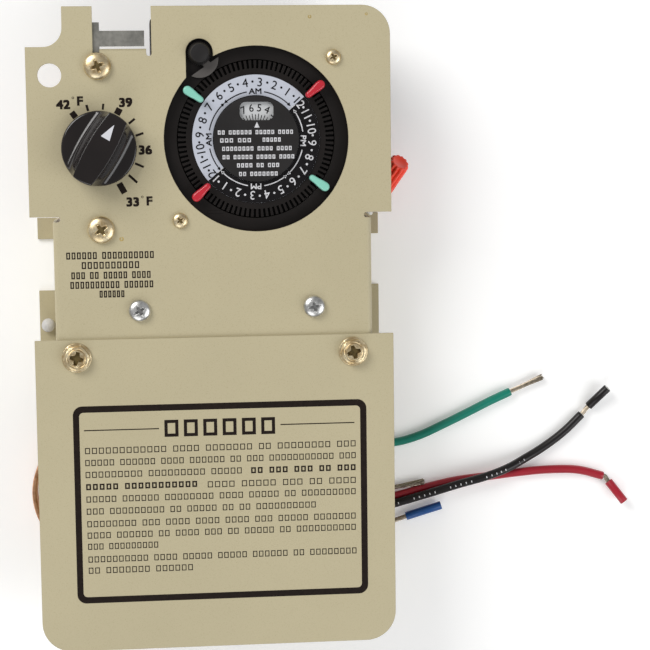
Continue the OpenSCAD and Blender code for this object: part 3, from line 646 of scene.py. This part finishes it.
def knob():
    """A height field whose columns follow the grip's edges, closed down to a flat foot."""
    rows = 120
    form = Shape()
    for j in range(rows + 1):
        q = KNOB_R * math.sin((j / rows - 0.5) * math.pi) * 0.99999
        chord = math.sqrt(KNOB_R ** 2 - q * q)
        stops = [-chord, GRIP_OFF - scoop_half(q), GRIP_OFF - grip_half(q),
                 GRIP_OFF + grip_half(q), GRIP_OFF + scoop_half(q), chord]
        stops = [max(-chord, min(chord, stop)) for stop in stops]
        columns = []
        for a, b, count in zip(stops, stops[1:], (14, 14, 20, 14, 14)):
            columns += [a + (b - a) * (0.5 - 0.5 * math.cos(math.pi * k / count))
                        for k in range(count)]
        columns.append(chord)
        form.verts += [(*on_knob(p, q), (KNOB_FOOT + knob_height(p, q)) * MM) for p in columns]
    n = len(columns)
    for j in range(rows):
        for i in range(n - 1):
            form.faces.append((j * n + i, j * n + i + 1, (j + 1) * n + i + 1, (j + 1) * n + i))
    edge = [j * n + n - 1 for j in range(rows + 1)] + [j * n for j in range(rows, -1, -1)]
    low = len(form.verts)
    m = len(edge)
    form.verts += [(form.verts[i][0], form.verts[i][1], KNOB_FOOT * MM) for i in edge]
    form.faces += [(edge[(k + 1) % m], edge[k], low + k, low + (k + 1) % m) for k in range(m)]
    form.faces.append(tuple(low + k for k in range(m - 1, -1, -1)))
    piece("temperature_knob", form, "knob_black", "thermostat_control",
          replaces="thermostat_knob", sharp=40)


def knob_arrow():
    """The white arrow let into the grip's ridge."""
    outline = [(-1.75, 4.9), (2.35, 4.9), (0.75, 11.6)]
    top = KNOB_FOOT + KNOB_H
    form = Shape()
    form.prism([on_knob(p, q) for p, q in outline], (top - 0.3) * MM, (top + 0.02) * MM)
    piece("knob_arrow", form, "pointer_white", "thermostat_control",
          replaces="knob_pointer")


knob()
knob_arrow()

# --- trippers
SLOTS = 96
PEG_LOW = 44.2
PEG_HIGH = 47.5
PEG_ROUND = 1.0        # radius of its upper edge, as seen from the side
HEAD_AT, HEAD_R = 35.0, 1.9  # its outer end, from the dial's middle
TAIL_AT, TAIL_R = 28.5, 1.3  # its inner end
SHOULDER = (4.6, 0.55)  # length between the two ends, and how much it narrows
BLADE_IN, BLADE_OUT = 29.6, 32.15
BLADE_HALF = 0.42
BLADE_LOW = 38.4


def arc_points(x, r, start, steps):
    """Half a circle about (x, 0), counter-clockwise from the start angle in degrees."""
    return [(x + r * math.cos(a), r * math.sin(a))
            for a in (math.radians(start + 180 * k / steps) for k in range(steps + 1))]


def peg_outline():
    """A pear: a wide outer end, hollow shoulders and a narrow inner end."""
    length, narrowing = SHOULDER
    shoulder = [(HEAD_AT - length * k / 8, HEAD_R - narrowing * (k / 8) ** 2)
                for k in range(1, 8)]
    return (arc_points(HEAD_AT, HEAD_R, -90, 16) + shoulder + arc_points(TAIL_AT, TAIL_R, 90, 10)
            + [(x, -y) for x, y in reversed(shoulder)])


def rounded_plug(shape, outline, levels):
    """A closed outline built up through (height, inset) steps, with a flat top."""
    n = len(outline)
    normals = []
    for i in range(n):
        along = (Vector(outline[(i + 1) % n]) - Vector(outline[i - 1])).normalized()
        normals.append(Vector((along.y, -along.x)))
    shape.loft([[(outline[i][0] - normals[i].x * inset, outline[i][1] - normals[i].y * inset, z)
                 for i in range(n)] for z, inset in levels])


def tripper(name, node, body, mat, turn):
    """A peg over the dial's rim, with its blade in the slot nearest to turn."""
    levels = [(PEG_LOW, 0.25), (PEG_LOW + 0.12, 0.08), (PEG_LOW + 0.3, 0.0),
              (PEG_HIGH - PEG_ROUND, 0.0)]
    for k in range(1, 7):
        a = math.radians(90 * k / 6)
        levels.append((PEG_HIGH - PEG_ROUND + PEG_ROUND * math.sin(a), 0.9 * (1 - math.cos(a))))
    form = Shape()
    rounded_plug(form, peg_outline(), levels)
    form.prism([(BLADE_IN, -BLADE_HALF), (BLADE_OUT, -BLADE_HALF), (BLADE_OUT, BLADE_HALF),
                (BLADE_IN, BLADE_HALF)], BLADE_LOW, PEG_LOW)
    pitch = 360 / SLOTS
    slot = math.radians(pitch * (round((90 - turn) / pitch - 0.5) + 0.5))
    centre = at(*DIAL)
    placed = Shape()
    for x, y, z in form.verts:
        u, v = turned(x, y, slot)
        placed.verts.append((centre.x + u * MM, centre.y + v * MM, z * MM))
    placed.faces = form.faces
    piece(name, placed, mat, body, replaces=node, sharp=55)


for name, node, body, mat, turn in (
        ("red_peg_1", "red_tripper_1", "red_tripper_a", "tripper_red", 49.4),
        ("red_peg_2", "red_tripper_2", "red_tripper_b", "tripper_red", -133.5),
        ("mint_peg_1", "green_tripper_1", "green_tripper_a", "tripper_mint", -52.7),
        ("mint_peg_2", "green_tripper_2", "green_tripper_b", "tripper_mint", 123.9)):
    tripper(name, node, body, mat, turn)

# --- screws
# Each screw's place, and the turn of its cross in degrees
THERMOSTAT_SCREWS = [(-46.8, 113.5, 20), (-46.8, 45.9, 33)]
TIMER_SCREWS = [(51.3, 116.4, 28), (-13.9, 49.2, 38)]
RELAY_SCREWS = [(-31.6, 11.8, 30), (41.9, 12.0, 12)]
COVER_SCREWS = [(-58.2, -7.4, -14), (58.2, -7.4, 16)]
SCREW_SIDES = 96
SCREW_RINGS = 30
SCREW_EDGE = 0.35  # share of a head's height that its side takes
SHANK = 9.0        # length under the head


def cross_cut(r, a, reach):
    """How deep a cross recess is at (r, a), from 0 to 1; its arms narrow outward."""
    x = abs(r * math.cos(a))
    y = abs(r * math.sin(a))
    cut = 0.0
    for u, v in ((x, y), (y, x)):
        arm = reach * 0.30 * (1.05 - 0.45 * u / reach)
        if u < reach and v < arm:
            side = min(1.0, (arm - v) / (0.10 * reach))
            end = min(1.0, (reach - u) / (0.16 * reach))
            cut = max(cut, side * end * (1 - 0.45 * u / reach))
    return cut


def round_screw(form, centre, turn, head_r, head_h, reach, depth, shank_r):
    """A round head as a height field with a cross recess, and its shank."""
    def height(r, a):
        edge = SCREW_EDGE * head_h
        dome = edge + (head_h - edge) * math.sqrt(max(0.0, 1 - (r / head_r) ** 2.6))
        return dome - depth * cross_cut(r, a - math.radians(turn), reach)

    knee = 0.6  # share of the rings up to which their spacing is even
    points = []
    for j in range(SCREW_RINGS + 1):
        share = j / SCREW_RINGS
        if share > knee:
            r = head_r * math.sin(share * math.pi / 2)
        else:
            r = head_r * math.sin(knee * math.pi / 2) * (share / knee)
        points += [(centre.x + r * math.cos(a) * MM, centre.y + r * math.sin(a) * MM,
                    (PANEL_FACE + height(r, a)) * MM) for a in angles(SCREW_SIDES)]
    n = SCREW_SIDES
    form.add(points, [(j * n + k, (j + 1) * n + k, (j + 1) * n + (k + 1) % n, j * n + (k + 1) % n)
                      for j in range(SCREW_RINGS) for k in range(n)])
    form.lathe(centre, PANEL_FACE,
               [(shank_r * 0.6, -SHANK), (shank_r, 1 - SHANK), (shank_r, 0), (head_r - 0.2, 0),
                (head_r, 0.15), (head_r, SCREW_EDGE * head_h)], SCREW_SIDES)


def round_screws(name, node, places, mat, **sizes):
    form = Shape()
    for x, y, turn in places:
        round_screw(form, at(x, y), turn, **sizes)
    piece(name, form, mat, "panel", replaces=node, sharp=30)


round_screws("thermostat_fixings", "thermostat_screws", THERMOSTAT_SCREWS, "yellow_zinc",
             head_r=5.6, head_h=3.2, reach=2.9, depth=1.4, shank_r=2.4)
round_screws("timer_fixings", "timer_screws", TIMER_SCREWS, "yellow_zinc",
             head_r=3.2, head_h=2.2, reach=1.7, depth=0.9, shank_r=1.6)
round_screws("relay_fixings", "relay_screws", RELAY_SCREWS, "bright_zinc",
             head_r=4.6, head_h=3.0, reach=2.6, depth=1.2, shank_r=2.2)

HEX_TURN = 8.5
HEX_HALF = 4.9  # half the width across its flats
CROWN_R = 3.42  # the round raised middle
CROWN_H = 3.95
HEX_REACH = 2.9
HEX_DEPTH = 2.0


def hexagon(more, a):
    """The hexagon's radius at an angle, and some more."""
    return HEX_HALF / math.cos((a - math.radians(HEX_TURN)) % (math.pi / 3) - math.pi / 6) + more


def hex_top(low, fall, a):
    """Height of the hexagon's upper edge, which falls toward its corners."""
    return low - fall * (hexagon(0, a) - HEX_HALF)


def crown(r, turn, a):
    """Height of the raised middle with its wide cross recess."""
    x = abs(r * math.cos(a - math.radians(turn)))
    y = abs(r * math.sin(a - math.radians(turn)))
    cut = 0.0
    for u, v in ((x, y), (y, x)):
        arm = 1.55 - 0.75 * math.sin(min(1.0, u / HEX_REACH) * math.pi / 2)
        if u < HEX_REACH and v < arm:
            cut = max(cut, min(1.0, (arm - v) / 0.25) * min(1.0, (HEX_REACH - u) / 0.35))
    return CROWN_H - 0.012 * r * r - HEX_DEPTH * cut


def cover_screws():
    """Hexagon washer heads with a round raised middle."""
    washer = [(1.0, -10.0), (2.1, -9.0), (2.1, 0.0), (6.0, 0.0), (6.2, 0.12), (6.2, 0.6),
              (6.0, 0.82)]
    flats = [(partial(hexagon, 0.12), 0.92), (partial(hexagon, 0), 1.1),
             (partial(hexagon, 0), partial(hex_top, 3.3, 0.75)),
             (partial(hexagon, -0.25), partial(hex_top, 3.42, 0.4))]
    groove = [(4.3, 3.45), (3.9, 3.3), (3.65, 3.36), (3.5, 3.7)]
    form = Shape()
    for x, y, turn in COVER_SCREWS:
        middle = [(r, partial(crown, r, turn))
                  for r in (CROWN_R * (1 - k / 34) + 0.004 for k in range(35))]
        form.lathe(at(x, y), COVER_FACE, washer + flats + groove + middle, 144)
    piece("cover_fixings", form, "yellow_zinc", "cover", replaces="cover_screws", sharp=30)


def recesses(name, places, mat, body, size, arm, height):
    """Painted shade: dark flat crosses laid at the bottom of each cross recess, where shade
    falls.
    """
    form = Shape()
    for x, y, turn in places:
        points = []
        for k in range(4):
            for u, v in ((size, -arm), (size, arm), (arm * 1.3, arm * 1.3)):
                du, dv = turned(u, v, math.radians(turn + 90 * k))
                points.append(at(x + du, y + dv)[:2])
        form.prism(points, (height - 0.25) * MM, height * MM)
    piece(name, form, mat, body)


cover_screws()
# Painted shade in the screws' cross recesses: brownish under the yellow heads and grey under the
# bright ones
recesses("hex_recess_shade", COVER_SCREWS, "painted_shade_brown", "cover", 2.55, 0.62, 49.45)
recesses("large_recess_shade", THERMOSTAT_SCREWS, "painted_shade_brown", "panel", 2.1, 0.45, 48.25)
recesses("small_recess_shade", TIMER_SCREWS, "painted_shade_brown", "panel", 1.25, 0.3, 47.6)
recesses("relay_recess_shade", RELAY_SCREWS, "painted_shade_grey", "panel", 1.9, 0.42, 48.15)

# --- twist-on connector, override
CONNECTOR_END = (81.5, 72, 30)
CONNECTOR_WAY = Vector((0.375, 0.60, 0.707)).normalized()  # from its mouth to its closed end
CONNECTOR_LENGTH = 26
CONNECTOR_RIBS = 12
# Distance from the mouth, radius and depth between the ribs
CONNECTOR_ROWS = [(16, 0.02, 0), (16, 3.5, 0), (0.25, 3.6, 0), (0, 3.9, 0), (0, 5.95, 0),
                  (0.25, 6.2, 0), (5.6, 6.2, 0), (6.0, 6.1, 0), (6.6, 5.75, 0.1),
                  (7.6, 5.5, 0.5), (8.4, 5.4, 0.85), (24.6, 4.55, 0.85), (25.3, 4.4, 0.8),
                  (25.8, 4.1, 0.6), (26, 3.7, 0.35), (26, 2.9, 0), (25.8, 2.5, 0),
                  (25.75, 0.02, 0)]
GRIP_FLUTES = 36
# Height, radius and depth of the flutes
GRIP_ROWS = [(24, 2.3, 0), (24.2, 2.5, 0), (43.8, 2.5, 0), (43.8, 4.9, 0.2), (44.0, 5.0, 0.3),
             (45.6, 4.95, 0.3), (46.0, 4.7, 0.3), (48.4, 4.2, 0.3), (48.9, 4.0, 0.2),
             (49.15, 3.7, 0.05), (49.2, 3.4, 0), (49.1, 3.1, 0), (49.1, 0.02, 0)]


def ribbed(r, depth, a):
    """Ribs with rounded backs and sharp valleys."""
    return (r - depth * (1 - abs(math.cos(CONNECTOR_RIBS / 2 * a)))) * MM


def fluted(r, depth, a):
    """Even, rounded flutes."""
    return r - depth * (0.5 - 0.5 * math.cos(GRIP_FLUTES * a))


def twist_connector():
    mouth = at(*CONNECTOR_END) - CONNECTOR_LENGTH * MM * CONNECTOR_WAY
    side = CONNECTOR_WAY.cross(UP).normalized()
    up = CONNECTOR_WAY.cross(side)
    form = Shape()
    form.loft([ring(mouth + s * MM * CONNECTOR_WAY, side, up, partial(ribbed, r, depth), 192)
               for s, r, depth in CONNECTOR_ROWS])
    piece("twist_connector", form, "connector_red", "panel", replaces="wire_connector",
          sharp=40)


def override_grip():
    form = Shape()
    form.lathe(at(*OVERRIDE), 0.0, [(partial(fluted, r, depth), z)
                                    for z, r, depth in GRIP_ROWS], 288)
    piece("override_grip", form, "charcoal_plastic", "override", replaces="override_knob",
          sharp=35)


def ledge_bar():
    """The small raised bar on the housing's ledge, below the dial."""
    x, y, _ = at(0.9, 52.4)
    form = Shape()
    form.prism([(x + u * MM, y + v * MM) for u, v in ((-3.2, -0.6), (3.2, -0.6), (3.2, 0.5),
                                                      (-3.2, 0.5))], 41.7 * MM, 42.0 * MM)
    piece("ledge_bar", form, "black_plastic", "panel")


twist_connector()
override_grip()
ledge_bar()
lead_marks()

# --- printed marks
CAPITALS = 0.70  # height of the built-in font's capitals, for a size of 1


def glyphs(text, height):
    """The built-in font's outlines as flat faces, middle at zero, capitals this tall."""
    curve = bpy.data.curves.new("glyphs", "FONT")
    curve.body = text
    curve.size = height / CAPITALS
    curve.align_x = "CENTER"
    curve.align_y = "CENTER"
    curve.resolution_u = 4
    obj = add_object("glyphs", curve)
    bpy.context.view_layer.update()
    mesh = bpy.data.meshes.new_from_object(
        obj.evaluated_get(bpy.context.evaluated_depsgraph_get()))
    verts = [(v.co.x, v.co.y) for v in mesh.vertices]
    faces = [tuple(p.vertices) for p in mesh.polygons]
    bpy.data.objects.remove(obj)
    bpy.data.curves.remove(curve)
    bpy.data.meshes.remove(mesh)
    middle = (min(y for _, y in verts) + max(y for _, y in verts)) / 2
    return [(x, y - middle) for x, y in verts], faces


class Print:
    """Thin ink on a face at height z, in the panel's own millimetres."""

    def __init__(self, z):
        self.shape = Shape()
        self.low = (z - 0.03) * MM
        self.high = (z + 0.035) * MM

    def text(self, text, x, y, height, turn, wide, bold):
        """Text about (x, y), turned clockwise; copies moved out by bold thicken it."""
        flat, faces = glyphs(text, height)
        for n, (dx, dy) in enumerate(((-bold, -bold), (bold, -bold), (bold, bold),
                                      (-bold, bold))):
            out = []
            for u, v in flat:
                du, dv = turned(u * wide + dx, v + dy, math.radians(-turn))
                place = at(x + du, y + dv)
                out.append((place.x, place.y, self.high - n * 0.004 * MM))
            self.shape.add(out, faces)

    def polygon(self, points):
        self.shape.prism([at(x, y)[:2] for x, y in points], self.low, self.high)

    def bar(self, x0, x1, y, height):
        half = height / 2
        self.polygon([(x0, y - half), (x1, y - half), (x1, y + half), (x0, y + half)])

    def dot(self, x, y, r):
        self.polygon([(x + r * math.cos(a), y + r * math.sin(a)) for a in angles(14)])

    def tick(self, centre, turn, r0, r1, width):
        """A short radial bar; turn in degrees, clockwise from the top."""
        a = math.radians(turn)
        half = width / 2
        self.polygon([(centre[0] + r * math.sin(a) + k * math.cos(a),
                       centre[1] + r * math.cos(a) - k * math.sin(a))
                      for r, k in ((r0, -half), (r1, -half), (r1, half), (r0, half))])

    def arc(self, centre, r, width, a0, a1, steps=48):
        self.shape.band(at(*centre), (r - width / 2) * MM, (r + width / 2) * MM, a0, a1,
                        self.low, self.high, steps)

    def arrow(self, centre, r, turn, way, size):
        """An arrowhead along a circle: way is 1 clockwise and -1 the other way."""
        a = math.radians(turn)
        tip = around(centre, r, turn)
        back = [(tip[0] - size * way * math.cos(a) + k * math.sin(a),
                 tip[1] + size * way * math.sin(a) + k * math.cos(a))
                for k in (size * 0.5, -size * 0.5)]
        self.polygon([tip, *back] if way > 0 else [tip, *back[::-1]])

    def frame(self, outer, inner):
        """The strip between two outlines of as many points."""
        n = len(outer)
        rows = [[at(x, y)[:2] for x, y in line] for line in (outer, inner)]
        faces = []
        for i in range(n):
            j = (i + 1) % n
            faces += [(i, j, n + j, n + i), (2 * n + j, 2 * n + i, 3 * n + i, 3 * n + j),
                      (n + i, n + j, 3 * n + j, 3 * n + i), (j, i, 2 * n + i, 2 * n + j)]
        self.shape.add([(x, y, z) for line in rows for z in (self.low, self.high)
                        for x, y in line], faces)

    def words(self, letters, x0, x1, y, height, pen):
        """A line of words made of open boxes, one for each letter, with nothing to read."""
        box, space = 0.72, 0.75  # a box's width and a word space, in steps of one letter
        step = (x1 - x0) / (sum(letters) + space * (len(letters) - 1) - (1 - box))
        half = height / 2
        x = x0
        for count in letters:
            for k in range(count):
                a = x + k * step
                b = x + (k + box) * step
                self.frame([(a, y - half), (b, y - half), (b, y + half), (a, y + half)],
                           [(a + pen, y - half + pen), (b - pen, y - half + pen),
                            (b - pen, y + half - pen), (a + pen, y + half - pen)])
            x += (count + space) * step

    def done(self, name, mat, body):
        piece(name, self.shape, mat, body, sharp=20)


RING_FACE = 42.6
DISC_FACE = 42.4
PLATE_FACE = 44.2
THREE = 4.7  # where the morning's 3 stands; angles in degrees, clockwise from the top
NOON = THREE + 45
MIDNIGHT = THREE - 135
HOUR = 15  # degrees
NIGHT_R = (18.22, 26.78)
HOUR_R, HOUR_SIZE = 23.7, 3.6
DOT_RING, DOT_R = 23.9, 0.48
WORD_R, WORD_SIZE = 19.9, 2.3
ARC_WIDTH = 0.46


def dial_marks():
    """Hours round the dial: black on the white half, white on the black half."""
    black = Print(RING_FACE + 0.04)
    white = Print(RING_FACE + 0.08)
    half = Print(RING_FACE)
    half.shape.band(at(*DIAL), NIGHT_R[0] * MM, NIGHT_R[1] * MM, NOON, NOON + 180, half.low,
                    half.high, 96)
    half.done("afternoon_half", "ink_black", "dial")

    hours = [(black, THREE + HOUR * (3 - hour), str(hour)) for hour in range(1, 12)]
    hours += [(white, NOON + HOUR * (12 - hour), str(hour)) for hour in range(1, 12)]
    # Each 12 stands on the border, one digit on each half
    hours += [(black, NOON - 2.5, "1"), (white, NOON + 3.5, "2"), (white, MIDNIGHT - 3.4, "1"),
              (black, MIDNIGHT + 2.9, "2")]
    for layer, turn, digits in hours:
        layer.text(digits, *around(DIAL, HOUR_R, turn), HOUR_SIZE, turn, 0.98, 0.02)
    for k in range(24):
        turn = THREE + HOUR * (k + 0.5)
        layer = white if 45 < (turn - THREE) % 360 < 225 else black
        layer.dot(*around(DIAL, DOT_RING, turn), DOT_R)

    for layer, turn, word in ((black, 0, "AM"), (black, -90, "AM"), (white, 93, "PM"),
                              (white, 181, "PM")):
        layer.text(word, *around(DIAL, WORD_R, turn), WORD_SIZE, turn, 1.15, 0.07)
    for layer, a0, a1 in ((black, -39.5, -10.5), (black, 10.5, 44), (black, -129, -101),
                          (black, -79, -43), (white, 55, 82), (white, 104, 138),
                          (white, 142, 171), (white, 191, 227)):
        layer.arc(DIAL, WORD_R, ARC_WIDTH, a0, a1)
    for layer, turn, way in ((black, -41.5, -1), (black, 47.5, 1), (black, -131, -1),
                             (black, -41, 1), (white, 140, 1), (white, 140, -1),
                             (white, 229, 1), (white, 52.5, -1)):
        layer.arrow(DIAL, WORD_R, turn, way, 1.5)
    for turn in (NOON, MIDNIGHT):
        white.tick(DIAL, turn, 18.3, 21.6, 0.3)
    black.done("hours_morning", "ink_black", "dial")
    white.done("hours_afternoon", "ink_white", "dial")


def window_marks():
    """Hours on the disc behind the window."""
    hours = Print(DISC_FACE)
    for k in range(24):
        turn = 6.8 + HOUR * k
        hour = (5 - k) % 12 or 12
        hours.text(str(hour), *around(DIAL, 13.0, turn), 3.1, turn, 0.95, 0.03)
        hours.tick(DIAL, turn, 8.0, 10.6, 0.30)
        hours.tick(DIAL, turn + HOUR / 2, 8.0, 10.2, 0.30)
    hours.done("hours_in_window", "ink_black", "dial")


# Lines of boxes: letters in each word, where the line starts and ends, and its place up the panel
PLATE_LINES = [((2, 6, 5, 4), 2.6, 34.1, 85.6), ((3, 3), 3.5, 16.4, 82.3),
               ((5,), 21.3, 28.9, 82.4), ((8, 4, 4), 4.3, 33.5, 78.8),
               ((2, 5, 5, 4), 4.4, 34.5, 75.3), ((4, 2, 3), 10.4, 28.1, 71.8),
               ((2, 7), 11.2, 27.4, 68.2)]
NOTE_LINES = [((6, 10), -61.5, -25.2, 35.2), ((10,), -55.2, -31.4, 31.1),
              ((3, 2, 5, 4), -59.6, -26.7, 26.9), ((10, 6), -60.1, -25.7, 22.9),
              ((6,), -48.1, -37.8, 19.0)]
THIN_LINES = [((12, 4, 7, 2, 8, 3), -55.8, 58.8, -47.0),
              ((5, 6, 4, 6, 2, 3, 11, 3), -55.8, 58.8, -52.1), ((9, 9, 5), -55.8, 10.0, -57.2),
              ((4, 5, 3, 2, 4), -4.5, 58.7, -62.8), ((5, 6, 8, 4, 5, 2, 9), -55.7, 58.6, -67.7),
              ((3, 9, 2, 5, 2, 2, 10), -55.7, 41.4, -72.9),
              ((8, 3, 4, 4, 4, 3, 5, 7), -55.6, 58.5, -78.3),
              ((4, 6, 2, 4, 3, 2, 5, 2, 10), -55.6, 58.5, -83.2), ((3, 9), -55.5, -26.0, -88.0),
              ((10, 4, 5, 5, 6, 2, 8), -55.5, 58.7, -93.5), ((2, 7, 6), -55.5, -11.5, -98.3)]
THICK_LINES = [((2, 3, 3, 2, 3), 14.0, 58.7, -57.3), ((5, 11), -55.7, -9.0, -62.4)]
# The thermostat's marks: turn in degrees, inner and outer radius, and width
SCALE_TICKS = [(-15.0, 16.0, 18.6, 1.0), (6.7, 16.0, 18.5, 0.85), (51.2, 16.0, 19.2, 0.95),
               (71.7, 16.0, 19.4, 0.95), (113.6, 16.0, 19.9, 0.95), (133.1, 16.4, 21.1, 1.0),
               (-36.0, 15.8, 18.6, 2.5), (28.6, 15.8, 18.6, 2.7), (151.5, 16.6, 21.2, 2.6)]
SCALE_TEXT = [("42", -61.1, 97.9), ("F", -54.3, 99.3), ("39", -35.5, 98.5),
              ("36", -27.8, 78.8), ("33", -33.4, 57.3), ("F", -26.6, 57.6)]
DEGREE_SIGNS = [(-57.1, 100.6), (-29.4, 59.3)]


def plate_marks():
    """Centre plate: the pointer under the window and boxes in the place of its text."""
    plate = Print(PLATE_FACE)
    plate.polygon([(17.9, 87.5), (20.1, 87.5), (19.0, 89.9)])
    for letters, x0, x1, y in PLATE_LINES:
        plate.words(letters, x0, x1, y, 1.75, 0.42)
    plate.done("plate_marks", "ink_white", "panel")


def thermostat_marks():
    """The temperature scale and boxes in the place of the note below it."""
    scale = Print(PANEL_FACE)
    for turn, r0, r1, width in SCALE_TICKS:
        scale.tick(KNOB, turn, r0, r1, width)
    for text, x, y in SCALE_TEXT:
        scale.text(text, x, y, 3.45, -0.5, 1.14, 0.24)
    for x, y in DEGREE_SIGNS:
        scale.arc((x, y), 0.39, 0.22, 0, 360, 14)
    for letters, x0, x1, y in NOTE_LINES:
        scale.words(letters, x0, x1, y, 2.9, 0.5)
    scale.done("thermostat_scale", "ink_brown", "panel")


def rounded_box(x0, y0, x1, y1, r):
    points = []
    for x, y, start in ((x1 - r, y1 - r, 0), (x0 + r, y1 - r, 90), (x0 + r, y0 + r, 180),
                        (x1 - r, y0 + r, 270)):
        for k in range(9):
            a = math.radians(start + 90 * k / 8)
            points.append((x + r * math.cos(a), y + r * math.sin(a)))
    return points


def cover_marks():
    """Plain label on the cover: a frame, a heading between two rules, and lines of boxes."""
    label = Print(COVER_FACE)
    label.frame(rounded_box(-60.5, -112.4, 63.6, -28.0, 3.9),
                rounded_box(-57.9, -109.7, 60.9, -30.7, 1.8))
    label.words((6,), -22.3, 24.5, -38.3, 7.2, 1.35)
    label.bar(-56.0, -24.6, -38.3, 0.45)
    label.bar(26.8, 58.4, -38.0, 0.45)
    for lines, pen in ((THIN_LINES, 0.36), (THICK_LINES, 0.62)):
        for letters, x0, x1, y in lines:
            label.words(letters, x0, x1, y, 2.6, pen)
    label.done("cover_label", "ink_brown", "cover")


def stains():
    """Small rings of rust colour on the paint."""
    marks = Print(PANEL_FACE)
    for x, y, r in ((41.6, 133.2, 0.75), (65.4, 134.2, 0.6), (-38.4, 41.9, 0.9)):
        marks.arc((x, y), 0.725 * r, 0.55 * r, 0, 330, 20)
    marks.done("stains", "ink_stain", "panel")


dial_marks()
window_marks()
plate_marks()
thermostat_marks()
cover_marks()
stains()


# --- floor, lights
def add_floor():
    half = 4.0
    low = -0.0004
    mesh = bpy.data.meshes.new("floor")
    mesh.from_pydata([(-half, -half, low), (half, -half, low), (half, half, low),
                      (-half, half, low)], [], [(0, 1, 2, 3)])
    ground = add_object("floor", mesh)
    pale = Nodes("pale_floor")
    pale.drive("Base Color", pale.ramp(pale.noise(scale=6.0), [(0.3, (0.93, 0.93, 0.93)),
                                                               (0.7, (0.95, 0.95, 0.95))]))
    pale.set("Roughness", 0.9)
    pale.set("Emission Color", (1, 1, 1, 1))
    pale.set("Emission Strength", 0.17)
    mesh.materials.append(pale.mat)


# Place, diameter, power and colour
LIGHTS = {"key": ((-0.85, 0.85, 0.95), 0.9, 14.5, (1.0, 0.99, 0.97)),
          "fill": ((1.0, -0.45, 0.90), 1.0, 7.5, (0.98, 0.99, 1.0)),
          "back": ((-0.3, -1.1, 0.90), 1.0, 5.0, (1, 1, 1))}
AIM = Vector((0, 0, 0.03))


def add_light(name, place, size, power, color):
    """A round soft light that faces the panel."""
    light = bpy.data.lights.new(name, "AREA")
    light.shape = "DISK"
    light.size = size
    light.energy = power
    light.color = color
    obj = add_object(name, light)
    obj.location = place
    obj.rotation_euler = (Vector(place) - AIM).to_track_quat("Z", "Y").to_euler()


def add_world():
    world = bpy.data.worlds.new("studio")
    world.use_nodes = True
    background = world.node_tree.nodes["Background"]
    background.inputs["Color"].default_value = (1, 1, 1, 1)
    background.inputs["Strength"].default_value = 0.30
    bpy.context.scene.world = world
    bpy.context.scene.view_settings.view_transform = "Standard"


add_floor()
for name, (place, size, power, color) in LIGHTS.items():
    add_light(name, place, size, power, color)
add_world()
